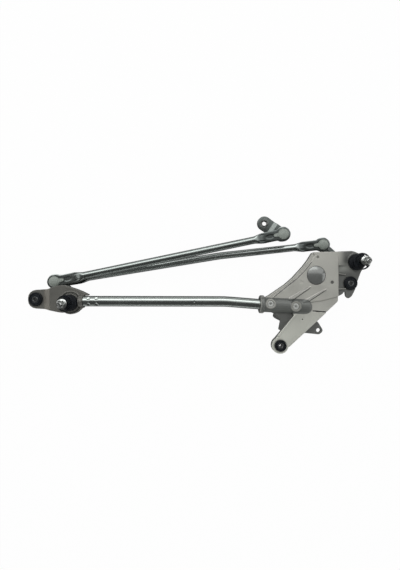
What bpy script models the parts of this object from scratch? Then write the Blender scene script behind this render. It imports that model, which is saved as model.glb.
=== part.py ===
# Tandem wiper linkage: two cast pivot housings joined by a tube, two levers on wiper shafts,
# a link rod between the levers, and a motor rod with its loose crank.
# Lengths are in metres, +Z is up along the wiper shafts, and the motor posts stand on Z = 0.
# Plan places (x, y) are given in the linkage's own layout, whose origin is shifted to the
# middle of the part by LAYOUT_SHIFT.

import math

import bmesh
import bpy
from mathutils import Matrix, Vector

# General fits
GAP = 0.0003
ROUND_STEPS = 20
FINE_STEPS = 12
BALL_STEPS = 14
SHAFT_STEPS = 16
ROD_SIDES = 12
ARC_STEP = math.radians(22)
ARC_FLATNESS = 0.0003
MERGE = 0.00001
CUT_REACH = 0.0100
LAYOUT_SHIFT = (0.0090, -0.0055)

# Places of the two pivots, and the lever shared by both sides
LEFT_PIVOT = (-0.2692, -0.0368)
RIGHT_PIVOT = (0.3234, 0.0473)
LEVER_LENGTH = 0.0636
LEVER_ANGLE = math.radians(136.2)
LEVER_THICKNESS = 0.0040
LEVER_HUB_RADIUS = 0.0140
LEVER_END_RADIUS = 0.0110
LEVER_RIB_DEPTH = 0.0012

# Motor rod and crank
MOTOR_ROD_LENGTH = 0.5060
MOTOR_ROD_ANGLE = math.radians(11.78)
CRANK_LENGTH = 0.0455
CRANK_ANGLE = math.radians(145.0)
CRANK_THICKNESS = 0.0040
CRANK_DROP = 0.0035
CRANK_BEND_START = 0.0205
CRANK_BEND_END = 0.0295
CRANK_EYE_RADIUS = 0.0158
CRANK_EYE_HOLE = 0.0046
CRANK_EYE_CHAMFER = 0.0068
CRANK_END_RADIUS = 0.0145

# Levels of the two rods, up from the motor posts' feet
LINK_ROD_LEVEL = 0.0125
MOTOR_ROD_LEVEL = 0.0380
RIGHT_LEVER_BASE = 0.0005

# Rods
ROD_RADIUS = 0.0080
ROD_END_HALF_WIDTH = 0.0115
ROD_END_HALF_THICKNESS = 0.0025
ROD_FLAT_LENGTH = 0.0420
ROD_BLEND_LENGTH = 0.0240
ROD_EYE_RADIUS = 0.0160
ROD_EYE_HALF_THICKNESS = 0.0027
ROD_RECESS_PLACE = 0.0280
ROD_RECESS_HALF_LENGTH = 0.0100
ROD_RECESS_HALF_WIDTH = 0.0050
ROD_RECESS_DEPTH = 0.0010
LINK_BEND_PLACE = (0.0450, 0.0660)
LINK_BEND_RADIUS = 0.1200

# Ball joints
BALL_RADIUS = 0.0065
STUD_NECK_RADIUS = 0.0042
STUD_SHANK_RADIUS = 0.0040
STUD_FLANGE_RADIUS = 0.0065
STUD_FLANGE_THICKNESS = 0.0010
SOCKET_WAIST_RADIUS = 0.0107
SOCKET_FLANGE_RADIUS = 0.0123
SOCKET_DOME_HEIGHT = 0.0095
SOCKET_LIP_DEPTH = 0.0046
SOCKET_TAIL_LENGTH = 0.0200
SOCKET_TAIL_WIDTH = 0.0070
SOCKET_TAIL_RISE = 0.0024

# Wiper shafts, bearings and caps
SHAFT_RADIUS = 0.0060
SHAFT_SPIGOT_RADIUS = 0.0048
SHAFT_CONE_BASE = 0.0905
SHAFT_CONE_TOP = 0.1000
SHAFT_CONE_TOP_RADIUS = 0.0048
SHAFT_THREAD_RADIUS = 0.0040
SHAFT_TOP = 0.1140
SHAFT_TIP_CHAMFER = 0.0010
BUSH_CLEARANCE = 0.00035
BUSH_WALL = 0.0020
BUSH_LENGTH = 0.0120
WASHER_RADIUS = 0.0110
WASHER_THICKNESS = 0.0014
RING_RADIUS = 0.0090
RING_THICKNESS = 0.0012
RING_GROOVE_DEPTH = 0.0008
RING_SLOT_WIDTH = 0.0040
NUT_STAND = 0.0010
NUT_BASE = SHAFT_CONE_TOP + NUT_STAND
NUT_FLANGE_RADIUS = 0.0100
NUT_FLANGE_THICKNESS = 0.0022
NUT_ACROSS_FLATS = 0.0130
NUT_HEIGHT = 0.0085
CAP_RADIUS = 0.0168
CAP_SHOULDER_RADIUS = 0.0138
CAP_SKIRT_HEIGHT = 0.0055
CAP_SHOULDER_HEIGHT = 0.0095
CAP_NECK_RADIUS = 0.0088
CAP_BRIM_RADIUS = 0.0170
CAP_BRIM_BASE = 0.0190
CAP_BRIM_THICKNESS = 0.0030
CAP_WINDOW_INNER = 0.0106
CAP_WINDOW_OUTER = 0.0144
CAP_WINDOW_ANGLE = math.radians(86)
CAP_CAVITY_RADIUS = 0.0120
CAP_CAVITY_HEIGHT = 0.0050
COLUMN_RADIUS = 0.0135
HOUSING_TOP = 0.0670
HOUSING_BOSS_RADIUS = 0.0190

# Frame tube
TUBE_RADIUS = 0.0110
TUBE_WALL = 0.0020
TUBE_LEVEL = 0.0620
TUBE_LEFT_END = (-0.2415, -0.0337)
TUBE_BEND_START = (0.0523, -0.0343)
TUBE_SOCKET_MOUTH = (0.1240, -0.0400)
TUBE_SOCKET_ANGLE = math.radians(-2.82)
TUBE_BEND_RADIUS = 0.2500
TUBE_DEPTH_IN_SOCKET = 0.0930
CRIMP_PLACES = (0.0120, 0.0285)
CRIMP_ANGLE = math.radians(32)
CRIMP_RADIUS = 0.0046
CRIMP_DEPTH = 0.0015
TUBE_MARK_PLACE = 0.2300
TUBE_MARK_RADIUS = 0.0030
TUBE_MARK_DEPTH = 0.0008

# Bracket casting
PLATE_TOP = 0.0740
PLATE_THICKNESS = 0.0050
PLATE_DEPTH = 0.0130
PLATE_WALL = 0.0042
PLATE_EDGE_ROUND = 0.0012
PLATE_OUTLINE = [
    (0.2315, 0.0675, 0.0060),
    (0.2834, 0.0685, 0.0020),
    (0.2834, -0.0335, 0.0070),
    (0.1815, -0.1280, 0.0040),
    (0.1530, -0.1120, 0.0030),
    (0.1925, -0.0640, 0.0040),
    (0.1880, -0.0480, 0.0020),
    (0.1310, -0.0480, 0.0020),
    (0.1310, -0.0270, 0.0020),
    (0.1420, -0.0210, 0.0060),
    (0.1835, 0.0074, 0.0900),
    (0.2172, 0.0445, 0.0900),
]
EDGE_STRIP_WIDTH = 0.0060
EDGE_STRIP_DEPTH = 0.0024
LOWERED_DEPTH = 0.0020
LOWERED_OUTLINE = [
    (0.2250, -0.0352, 0.0010),
    (0.2520, -0.0318, 0.0800),
    (0.2900, -0.0212, 0.0010),
    (0.2950, -0.0560, 0.0010),
    (0.2300, -0.0545, 0.0010),
]
WING_TOP = 0.0660
WING_THICKNESS = 0.0046
WING_OUTLINE = [
    (0.2800, 0.0693, 0.0010),
    (0.3180, 0.0708, 0.0120),
    (0.3400, 0.0600, 0.0120),
    (0.3420, 0.0400, 0.0140),
    (0.3338, 0.0270, 0.0120),
    (0.3252, 0.0039, 0.0140),
    (0.3218, -0.0097, 0.0100),
    (0.3150, -0.0230, 0.0060),
    (0.3075, -0.0290, 0.0040),
    (0.3018, -0.0230, 0.0040),
    (0.3005, -0.0110, 0.0040),
    (0.2960, -0.0185, 0.0040),
    (0.2885, -0.0225, 0.0030),
    (0.2800, -0.0240, 0.0010),
]
WING_RIBS = [
    ((0.2850, 0.0235), (0.2995, 0.0215)),
    ((0.2850, -0.0085), (0.3000, -0.0075)),
]
WING_RIB_WIDTH = 0.0030
WING_RIB_HEIGHT = 0.0055
WEB_TOP = 0.0660
WEB_THICKNESS = 0.0047
WEB_OUTLINE = [
    (0.2000, -0.0560, 0.0010),
    (0.1700, -0.0930, 0.0030),
    (0.1625, -0.0935, 0.0020),
    (0.1668, -0.0720, 0.0080),
    (0.1520, -0.0585, 0.0080),
    (0.1400, -0.0540, 0.0010),
    (0.1400, -0.0440, 0.0010),
]
LEG_LUG_CENTRE = (0.1643, -0.1239)
LEG_LUG_RADIUS = 0.0170
LEG_FLANGE_ROOM = 0.0008
LEG_RIB = ((0.1960, -0.0600), (0.1600, -0.1037))
LEG_RIB_WIDTH = 0.0040
LEG_RIB_HEIGHT = 0.0016
DOME_CENTRE = (0.2376, 0.0200)
DOME_RING_RADIUS = 0.0183
DOME_RADIUS = 0.0165
DOME_HEIGHT = 0.0042
DOME_RING_DEPTH = 0.0008
EJECTOR_MARKS = [(0.2413, 0.0570), (0.2707, 0.0057), (0.2072, 0.0061)]
EJECTOR_RADIUS = 0.0035
EJECTOR_DEPTH = 0.0005
PLATE_RIBS = [
    ((0.1850, -0.0295), (0.2258, -0.0040)),
    ((0.2100, -0.0370), (0.2579, -0.0096)),
]
PLATE_RIB_WIDTH = 0.0092
PLATE_RIB_TIP_WIDTH = 0.0044
PLATE_RIB_HEIGHT = 0.0026
SLOT = ((0.2310, -0.0540), (0.2620, -0.0556))
SLOT_WIDTH = 0.0016
SLOT_DEPTH = 0.0036
LEG_DIMPLE_CENTRE = (0.2092, -0.0705)
LEG_DIMPLE_RADIUS = 0.0014
LEG_DIMPLE_DEPTH = 0.0030
WING_RAMP = ((0.2825, 0.0723), (0.3060, 0.0664))
WING_RAMP_SIDES = (0.0400, 0.0686)
UNDER_RIBS = [
    ((0.1750, -0.0250), (0.2500, 0.0600)),
    ((0.2150, -0.0380), (0.2800, 0.0250)),
    ((0.2300, -0.0450), (0.1800, -0.1050)),
]
UNDER_RIB_WIDTH = 0.0026
SOCKET_TUBE_RADIUS = 0.0160
SOCKET_END_WALL = 0.0180
SOCKET_TUBE_LENGTH = TUBE_DEPTH_IN_SOCKET + SOCKET_END_WALL
SOCKET_COLLAR_RADIUS = 0.0188
SOCKET_COLLAR_LENGTH = 0.0075
SOCKET_UNDERSIDE = 0.0485
PIN_BOSSES = [
    ("tube_pin_outer", 0.0196, 0.0027, 0.0100),
    ("tube_pin_inner", TUBE_DEPTH_IN_SOCKET - 0.0219, 0.0, 0.0112),
]
PIN_BOSS_TOP = 0.0786
PIN_RADIUS = 0.0050
PIN_HEAD_RADIUS = 0.0064
PIN_HEAD_TOP = 0.0776
PIN_HEAD_BASE = 0.0742
PIN_TIP = 0.0660
PIN_SOCKET_RADIUS = 0.0026
PIN_SOCKET_DEPTH = 0.0022
EAR_TOP = 0.0640
EAR_THICKNESS = 0.0045
EAR_OUTLINE = [
    (0.2120, -0.0850, 0.0010),
    (0.2130, -0.0995, 0.0020),
    (0.2485, -0.1030, 0.0060),
    (0.2570, -0.0955, 0.0060),
    (0.2465, -0.0780, 0.0030),
    (0.2380, -0.0700, 0.0010),
]
EAR_HOLE_CENTRE = (0.2461, -0.0940)
EAR_HOLE_RADIUS = 0.0042
MOTOR_POSTS = [
    ((0.2330, -0.0670), PLATE_TOP - PLATE_THICKNESS + 0.0020),
    ((0.1745, -0.0700), WEB_TOP - 0.0015),
    ((0.3100, 0.0290), WING_TOP - 0.0015),
]
POST_FOOT_RADIUS = 0.0068
POST_ROOT_RADIUS = 0.0082
POST_HOLE_RADIUS = 0.0025
POST_HOLE_DEPTH = 0.0180

# Left pivot housing
LEFT_TOP = 0.0640
LEFT_THICKNESS = 0.0100
LEFT_FLOOR = 0.0595
LEFT_EDGE_ROUND = 0.0004
LEFT_OUTLINE = [
    (-0.3605, -0.0110, 0.0175),
    (-0.3180, -0.0085, 0.0060),
    (-0.2980, -0.0015, 0.0100),
    (-0.2835, 0.0000, 0.0100),
    (-0.2600, -0.0075, 0.0300),
    (-0.2470, -0.0125, 0.0100),
    (-0.2320, -0.0200, 0.0008),
    (-0.2345, -0.0221, 0.0008),
    (-0.2424, -0.0221, 0.0005),
    (-0.2424, -0.0470, 0.0030),
    (-0.2470, -0.0490, 0.0060),
    (-0.2560, -0.0565, 0.0100),
    (-0.2900, -0.0580, 0.0300),
    (-0.3250, -0.0505, 0.0300),
    (-0.3605, -0.0485, 0.0175),
]
LEFT_POCKET_OUTLINE = [
    (-0.3140, -0.0125, 0.0040),
    (-0.2900, -0.0060, 0.0100),
    (-0.2660, -0.0100, 0.0200),
    (-0.2464, -0.0200, 0.0050),
    (-0.2464, -0.0440, 0.0050),
    (-0.2600, -0.0520, 0.0100),
    (-0.2900, -0.0535, 0.0300),
    (-0.3140, -0.0490, 0.0040),
]
LEFT_LUG_CENTRE = (-0.3433, -0.0298)
LEFT_LUG_TOP = 0.0600
LEFT_STEP_FROM = -0.3250
LEFT_STEP_TO = -0.3130
LEFT_RIM_RADIUS = 0.0242
LEFT_RIM_DROP = 0.0018
LEFT_GROOVE = (0.0196, 0.0222)
LEFT_GROOVE_DEPTH = 0.0016
NECK_RADIUS = 0.0128
NECK_START = -0.2510
SPIGOT_LENGTH = 0.0350

# Fixing points: (name, centre, casting top, casting thickness, hole, flange, sleeve)
FIXINGS = [
    ("left_lug", LEFT_LUG_CENTRE, LEFT_LUG_TOP, 0.0060, 0.0106, 0.0142, 0.0060),
    ("leg", LEG_LUG_CENTRE, PLATE_TOP, 0.0060, 0.0088, 0.0118, 0.0055),
    ("wing", (0.3112, 0.0037), WING_TOP, WING_THICKNESS, 0.0100, 0.0138, 0.0058),
]
GROMMET_FLANGE_THICKNESS = 0.0035
GROMMET_EDGE_ROUND = 0.0010
SLEEVE_BORE_RADIUS = 0.0034
SLEEVE_STAND = 0.0008

# Surface colours, roughness and metallic value of each piece
FINISHES = {
    "cast_light": ((0.36, 0.36, 0.32), 0.55, 0.85),
    "cast_dark": ((0.13, 0.13, 0.12), 0.55, 0.80),
    "zinc_tube": ((0.30, 0.33, 0.31), 0.28, 1.00),
    "zinc_rod": ((0.24, 0.27, 0.25), 0.32, 1.00),
    "dark_steel": ((0.08, 0.09, 0.085), 0.45, 0.90),
    "bright_steel": ((0.70, 0.71, 0.70), 0.15, 1.00),
    "nylon": ((0.36, 0.39, 0.36), 0.50, 0.00),
    "rubber": ((0.010, 0.013, 0.018), 0.60, 0.00),
    "sintered_bronze": ((0.38, 0.24, 0.10), 0.50, 0.90),
}


def new_collection(name):
    collection = bpy.data.collections.new(name)
    bpy.context.scene.collection.children.link(collection)
    return collection


def make_material(name):
    colour, roughness, metallic = FINISHES[name]
    material = bpy.data.materials.new(name)
    material.use_nodes = True
    shader = material.node_tree.nodes["Principled BSDF"]
    shader.inputs["Base Color"].default_value = (*colour, 1.0)
    shader.inputs["Roughness"].default_value = roughness
    shader.inputs["Metallic"].default_value = metallic
    material.diffuse_color = (*colour, 1.0)
    return material


def polar(radius, angle):
    return Vector((radius * math.cos(angle), radius * math.sin(angle)))


def rounded(corners):
    """Points of a closed outline whose corners (x, y, radius) are rounded with arcs."""
    points = []
    count = len(corners)
    for i in range(count):
        before = Vector(corners[i - 1][:2])
        here = Vector(corners[i][:2])
        after = Vector(corners[(i + 1) % count][:2])
        to_before = (before - here).normalized()
        to_after = (after - here).normalized()
        half = to_before.angle(to_after) / 2
        turn = math.pi - 2 * half
        if turn < 0.02:
            points.append(here)
            continue
        room = 0.48 * min((before - here).length, (after - here).length)
        reach = min(corners[i][2] / math.tan(half), room)
        radius = reach * math.tan(half)
        centre = here + (to_before + to_after).normalized() * radius / math.sin(half)
        first = here + to_before * reach - centre
        last = here + to_after * reach - centre
        sweep = first.angle_signed(last)
        flat = 2 * math.acos(1 - min(ARC_FLATNESS / radius, 0.5))
        steps = max(1, round(turn / min(ARC_STEP, flat)))
        for k in range(steps + 1):
            spin = Matrix.Rotation(-sweep * k / steps, 2)
            points.append(centre + spin @ first)
    return points


def inset(corners, distance):
    """The corners (x, y, radius) of a clockwise outline, moved inward by distance."""
    moved = []
    count = len(corners)
    for i in range(count):
        before = Vector(corners[i - 1][:2])
        here = Vector(corners[i][:2])
        after = Vector(corners[(i + 1) % count][:2])
        d1 = (here - before).normalized()
        d2 = (after - here).normalized()
        n1 = Vector((d1.y, -d1.x))
        n2 = Vector((d2.y, -d2.x))
        shift = (n1 + n2) * (distance / (1 + n1.dot(n2)))
        hollow = d1.x * d2.y - d1.y * d2.x > 0
        radius = corners[i][2] + (distance if hollow else -distance)
        moved.append((here.x + shift.x, here.y + shift.y, max(radius, 0.0008)))
    return moved


def new_object(name, mesh, home, finish=None):
    item = bpy.data.objects.new(name, mesh)
    home.objects.link(item)
    if finish:
        mesh.materials.clear()
        mesh.materials.append(finish)
    return item


def smooth(mesh, angle=35):
    mesh.shade_smooth()
    mesh.set_sharp_from_angle(angle=math.radians(angle))


def slab(name, outline, base, top):
    """A flat plate between two levels, from a closed plan outline."""
    curve = bpy.data.curves.new(name, "CURVE")
    curve.dimensions = "2D"
    curve.fill_mode = "BOTH"
    curve.extrude = (top - base) / 2
    spline = curve.splines.new("POLY")
    spline.points.add(len(outline) - 1)
    for point, place in zip(spline.points, outline):
        point.co = (place[0], place[1], 0, 1)
    spline.use_cyclic_u = True
    guide = bpy.data.objects.new(name + "_curve", curve)
    TOOLS.objects.link(guide)
    guide.location = (0, 0, (top + base) / 2)
    bpy.context.view_layer.update()
    seen = guide.evaluated_get(bpy.context.evaluated_depsgraph_get())
    mesh = bpy.data.meshes.new_from_object(seen)
    mesh.name = name
    mesh.transform(guide.matrix_world)
    bpy.data.objects.remove(guide)
    bpy.data.curves.remove(curve)
    work = bmesh.new()
    work.from_mesh(mesh)
    bmesh.ops.remove_doubles(work, verts=work.verts, dist=MERGE)
    bmesh.ops.recalc_face_normals(work, faces=work.faces)
    work.to_mesh(mesh)
    work.free()
    return new_object(name, mesh, TOOLS)


def turned(name, profile, steps=ROUND_STEPS):
    """A solid of revolution about local Z from (radius, height) points, outer side first."""
    mesh = bpy.data.meshes.new(name)
    closed = profile[0][0] > 0 or profile[-1][0] > 0
    edges = [(i, i + 1) for i in range(len(profile) - 1)]
    if closed:
        edges.append((len(profile) - 1, 0))
    mesh.from_pydata([(r, 0, z) for r, z in profile], edges, [])
    item = new_object(name, mesh, TOOLS)
    screw = item.modifiers.new("revolve", "SCREW")
    screw.axis = "Z"
    screw.steps = steps
    screw.render_steps = steps
    screw.use_merge_vertices = True
    screw.merge_threshold = MERGE
    screw.use_smooth_shade = False
    return baked(item)


def baked(item):
    """The object with its modifiers applied to its mesh."""
    bpy.context.view_layer.update()
    seen = item.evaluated_get(bpy.context.evaluated_depsgraph_get())
    mesh = bpy.data.meshes.new_from_object(seen)
    mesh.name = item.name
    old = item.data
    item.modifiers.clear()
    item.data = mesh
    bpy.data.meshes.remove(old)
    return item


def disc(name, centre, radius, base, top, steps=ROUND_STEPS, top_radius=None):
    """An upright cylinder or cone between two levels."""
    work = bmesh.new()
    bmesh.ops.create_cone(
        work,
        cap_ends=True,
        segments=steps,
        radius1=radius,
        radius2=radius if top_radius is None else top_radius,
        depth=top - base,
    )
    bmesh.ops.translate(work, verts=work.verts, vec=(centre[0], centre[1], (top + base) / 2))
    mesh = bpy.data.meshes.new(name)
    work.to_mesh(mesh)
    work.free()
    return new_object(name, mesh, TOOLS)


def bar(name, start, end, width, base, top):
    """A straight upright web between two plan points."""
    start, end = Vector(start), Vector(end)
    along = (end - start).normalized()
    work = bmesh.new()
    bmesh.ops.create_cube(work, size=1)
    size = Matrix.Diagonal((*((end - start).length, width, top - base), 1))
    spin = Matrix.Rotation(math.atan2(along.y, along.x), 4, "Z")
    middle = (start + end) / 2
    place = Matrix.Translation((middle.x, middle.y, (top + base) / 2))
    bmesh.ops.transform(work, matrix=place @ spin @ size, verts=work.verts)
    mesh = bpy.data.meshes.new(name)
    work.to_mesh(mesh)
    work.free()
    return new_object(name, mesh, TOOLS)


def pillow(name, centre, level, half_sizes, angle=0.0):
    """An ellipsoid lying along a plan angle."""
    work = bmesh.new()
    bmesh.ops.create_uvsphere(work, u_segments=FINE_STEPS, v_segments=6, radius=1)
    spin = Matrix.Rotation(angle, 4, "Z")
    place = Matrix.Translation((centre[0], centre[1], level))
    bmesh.ops.transform(
        work, matrix=place @ spin @ Matrix.Diagonal((*half_sizes, 1)), verts=work.verts
    )
    mesh = bpy.data.meshes.new(name)
    work.to_mesh(mesh)
    work.free()
    return new_object(name, mesh, TOOLS)


def ridge(name, start, end, width, base, height, end_width=None):
    """A rounded cast rib, half a lying capsule high, between two plan points."""
    start, end = Vector(start), Vector(end)
    length = (end - start).length
    radius = width / 2
    tip = radius if end_width is None else end_width / 2
    steps = 3
    turns = [math.pi / 2 * k / steps for k in range(steps + 1)]
    profile = [(tip * math.sin(a), length + tip * math.cos(a)) for a in turns]
    profile += [(radius * math.sin(a), -radius * math.cos(a)) for a in reversed(turns)]
    profile[0] = (0, profile[0][1])
    profile[-1] = (0, profile[-1][1])
    item = turned(name, profile, 8)
    along = (end - start).normalized()
    lay = Matrix.Rotation(math.pi / 2, 4, "Y")
    squash = Matrix.Diagonal((1, 1, height / radius, 1))
    spin = Matrix.Rotation(math.atan2(along.y, along.x), 4, "Z")
    item.data.transform(Matrix.Translation((start.x, start.y, base)) @ spin @ squash @ lay)
    return item


def combine(target, tool, how):
    modifier = target.modifiers.new(how.lower() + "_" + tool.name, "BOOLEAN")
    modifier.operation = how
    modifier.solver = "EXACT"
    modifier.object = tool
    tool.hide_render = True
    tool.display_type = "WIRE"
    tool.parent = target.parent


def join(target, *tools):
    for tool in tools:
        combine(target, tool, "UNION")


def cut(target, *tools):
    for tool in tools:
        combine(target, tool, "DIFFERENCE")


def settled(item):
    """The object with its cuts and joins applied, and the slivers they leave removed."""
    tools = [modifier.object for modifier in item.modifiers]
    parent = item.parent
    item = baked(item)
    for tool in tools:
        bpy.data.objects.remove(tool)
    work = bmesh.new()
    work.from_mesh(item.data)
    bmesh.ops.remove_doubles(work, verts=work.verts, dist=MERGE)
    bmesh.ops.dissolve_degenerate(work, edges=work.edges, dist=MERGE)
    work.to_mesh(item.data)
    work.free()
    item.parent = parent
    return item


def round_edges(item, width, segments=1, angle=50):
    bevel = item.modifiers.new("edge_round", "BEVEL")
    bevel.width = width
    bevel.segments = segments
    bevel.limit_method = "ANGLE"
    bevel.angle_limit = math.radians(angle)
    bevel.use_clamp_overlap = True
    return baked(item)


def finish_piece(item, name, axis, finish, angle=35):
    """Names a finished piece, gives it its material and hangs it on its axis empty."""
    item.name = name
    item.data.name = name
    TOOLS.objects.unlink(item)
    PIECES.objects.link(item)
    item.data.materials.clear()
    item.data.materials.append(MATERIALS[finish].copy())
    item.data.materials[0].name = name + "_" + finish
    smooth(item.data, angle)
    centre = axis.get("centre")
    if centre is not None:
        item.data.transform(Matrix.Translation((-centre[0], -centre[1], 0)))
    for modifier in item.modifiers:
        tool = modifier.object
        if centre is not None:
            tool.data.transform(Matrix.Translation((-centre[0], -centre[1], 0)))
        tool.parent = axis
    item.parent = axis
    return item


def axis_empty(name, centre, parent=None):
    empty = bpy.data.objects.new(name, None)
    PIECES.objects.link(empty)
    empty["centre"] = centre
    if parent is None:
        empty.location = (LAYOUT_SHIFT[0], LAYOUT_SHIFT[1], 0)
    else:
        empty.parent = parent
        above = parent["centre"]
        empty.location = (centre[0] - above[0], centre[1] - above[1], 0)
    empty.empty_display_size = 0.02
    return empty


def link_outline(start, start_radius, end, end_radius, steps=8):
    """Outline of a flat link: two round ends joined by straight tangents."""
    start, end = Vector(start), Vector(end)
    along = end - start
    heading = math.atan2(along.y, along.x)
    lean = math.acos((start_radius - end_radius) / along.length)
    points = []
    for k in range(steps + 1):
        points.append(end + polar(end_radius, heading + lean - 2 * lean * k / steps))
    back = 2 * math.pi - 2 * lean
    for k in range(steps + 1):
        points.append(start + polar(start_radius, heading - lean - back * k / steps))
    return points


def bent_path(start, corner, end, radius, steps=4):
    """A plan path with one rounded bend."""
    start, corner, end = Vector(start), Vector(corner), Vector(end)
    back = (start - corner).normalized()
    on = (end - corner).normalized()
    half = back.angle(on) / 2
    reach = radius / math.tan(half)
    centre = corner + (back + on).normalized() * radius / math.sin(half)
    first = corner + back * reach - centre
    last = corner + on * reach - centre
    sweep = first.angle_signed(last)
    arc = [centre + Matrix.Rotation(-sweep * k / steps, 2) @ first for k in range(steps + 1)]
    return [start] + arc + [end]


def along_path(path, distance):
    """The point and heading at a distance along a plan path."""
    for a, b in zip(path, path[1:]):
        length = (b - a).length
        if distance <= length or b is path[-1]:
            return a + (b - a) * (distance / length), (b - a).normalized()
        distance -= length


def path_length(path):
    return sum((b - a).length for a, b in zip(path, path[1:]))


def rod_section(distance, total):
    """Half-width, half-thickness and squareness of a rod at a distance along it."""
    edge = min(distance, total - distance)
    t = (edge - ROD_FLAT_LENGTH) / ROD_BLEND_LENGTH
    t = min(max(t, 0), 1)
    ease = t * t * (3 - 2 * t)
    width = ROD_END_HALF_WIDTH + (ROD_RADIUS - ROD_END_HALF_WIDTH) * ease
    thick = ROD_END_HALF_THICKNESS + (ROD_RADIUS - ROD_END_HALF_THICKNESS) * ease
    return width, thick, 5.0 - 3.0 * ease


def rod_body(name, path, level):
    """A steel tube whose two ends are pressed flat, lofted along its path."""
    total = path_length(path)
    ends = [0.0, ROD_FLAT_LENGTH * 0.5]
    ends += [ROD_FLAT_LENGTH + ROD_BLEND_LENGTH * k / 4 for k in range(5)]
    corners = []
    travelled = 0.0
    for a, b in zip(path[:-1], path[1:-1]):
        travelled += (b - a).length
        corners.append(travelled)
    stations = sorted(ends + corners + [total - s for s in ends])
    sides = ROD_SIDES
    work = bmesh.new()
    rings = []
    for s in stations:
        place, heading = along_path(path, s)
        nearby, later = along_path(path, max(s - 0.0005, 0)), along_path(path, s + 0.0005)
        heading = (nearby[1] + later[1]).normalized() if s < total else heading
        side = Vector((-heading.y, heading.x))
        width, thick, power = rod_section(s, total)
        ring = []
        for k in range(sides):
            angle = 2 * math.pi * k / sides
            c, n = math.cos(angle), math.sin(angle)
            across = math.copysign(abs(c) ** (2 / power), c) * width
            up = math.copysign(abs(n) ** (2 / power), n) * thick
            ring.append(work.verts.new((*(place + side * across), level + up)))
        rings.append(ring)
    for first, second in zip(rings, rings[1:]):
        for k in range(sides):
            n = (k + 1) % sides
            work.faces.new((first[k], first[n], second[n], second[k]))
    work.faces.new(rings[0])
    work.faces.new(list(reversed(rings[-1])))
    bmesh.ops.recalc_face_normals(work, faces=work.faces)
    mesh = bpy.data.meshes.new(name)
    work.to_mesh(mesh)
    work.free()
    return new_object(name, mesh, TOOLS)


def make_rod(name, path, level, axis, upward):
    """A rod with a round eye at each end for its ball sockets; upward tells which faces show."""
    rod = rod_body(name, path, level)
    total = path_length(path)
    for label, place, inward, up in (
        ("start", path[0], 1, upward[0]),
        ("end", path[-1], -1, upward[1]),
    ):
        eye = disc(
            name + "_eye_" + label,
            place,
            ROD_EYE_RADIUS,
            level - ROD_EYE_HALF_THICKNESS,
            level + ROD_EYE_HALF_THICKNESS,
        )
        join(rod, eye)
        hole = disc(
            name + "_hole_" + label,
            place,
            SOCKET_WAIST_RADIUS + GAP,
            level - CUT_REACH,
            level + CUT_REACH,
        )
        cut(rod, hole)
        distance = ROD_RECESS_PLACE if inward > 0 else total - ROD_RECESS_PLACE
        middle, heading = along_path(path, distance)
        press = pillow(
            name + "_press_" + label,
            middle,
            level + up * (ROD_END_HALF_THICKNESS + ROD_RECESS_DEPTH),
            (ROD_RECESS_HALF_LENGTH, ROD_RECESS_HALF_WIDTH, 2 * ROD_RECESS_DEPTH),
            math.atan2(heading.y, heading.x),
        )
        cut(rod, press)
    return finish_piece(rod, name, axis, "zinc_rod")


def make_socket(name, centre, level, up, axis, heading):
    """A nylon ball socket, domed on one side and open to the stud on the other."""
    cavity = BALL_RADIUS + GAP
    waist_half = ROD_EYE_HALF_THICKNESS + GAP
    steps = 5
    profile = []
    for k in range(steps + 1):
        angle = math.pi / 2 * k / steps
        radius = SOCKET_FLANGE_RADIUS * math.sin(angle)
        rise = (SOCKET_DOME_HEIGHT - waist_half - 0.0008) * math.cos(angle)
        profile.append((radius, waist_half + 0.0008 + rise))
    profile[0] = (0, SOCKET_DOME_HEIGHT)
    profile += [
        (SOCKET_FLANGE_RADIUS, waist_half),
        (SOCKET_WAIST_RADIUS, waist_half),
        (SOCKET_WAIST_RADIUS, -SOCKET_LIP_DEPTH + 0.0008),
        (SOCKET_WAIST_RADIUS - 0.0008, -SOCKET_LIP_DEPTH),
    ]
    lip = math.acos(SOCKET_LIP_DEPTH / cavity)
    for k in range(steps + 1):
        angle = lip + (math.pi - lip) * k / steps
        profile.append((cavity * math.sin(angle), -cavity * math.cos(angle)))
    profile[-1] = (0, cavity)
    item = turned(name, profile, BALL_STEPS)
    tail = ridge(
        name + "_tail",
        (SOCKET_WAIST_RADIUS - 0.0015, 0),
        (SOCKET_TAIL_LENGTH - SOCKET_TAIL_WIDTH / 2, 0),
        SOCKET_TAIL_WIDTH,
        0,
        SOCKET_TAIL_RISE - 0.0002,
    )
    tail.data.transform(Matrix.Translation((0, 0, waist_half + SOCKET_TAIL_RISE)))
    join(item, tail)
    item = baked(item)
    bpy.data.objects.remove(tail)
    if up < 0:
        item.data.transform(Matrix.Rotation(math.pi, 4, "X"))
    item.data.transform(
        Matrix.Translation((centre[0], centre[1], level)) @ Matrix.Rotation(heading, 4, "Z")
    )
    return finish_piece(item, name, axis, "nylon")


def ball_arc(level, start, end, steps=5):
    """Profile points on a ball, from one angle below its top to another."""
    points = []
    for k in range(steps + 1):
        angle = start + (end - start) * k / steps
        points.append((BALL_RADIUS * math.sin(angle), level + BALL_RADIUS * math.cos(angle)))
    return points


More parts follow.
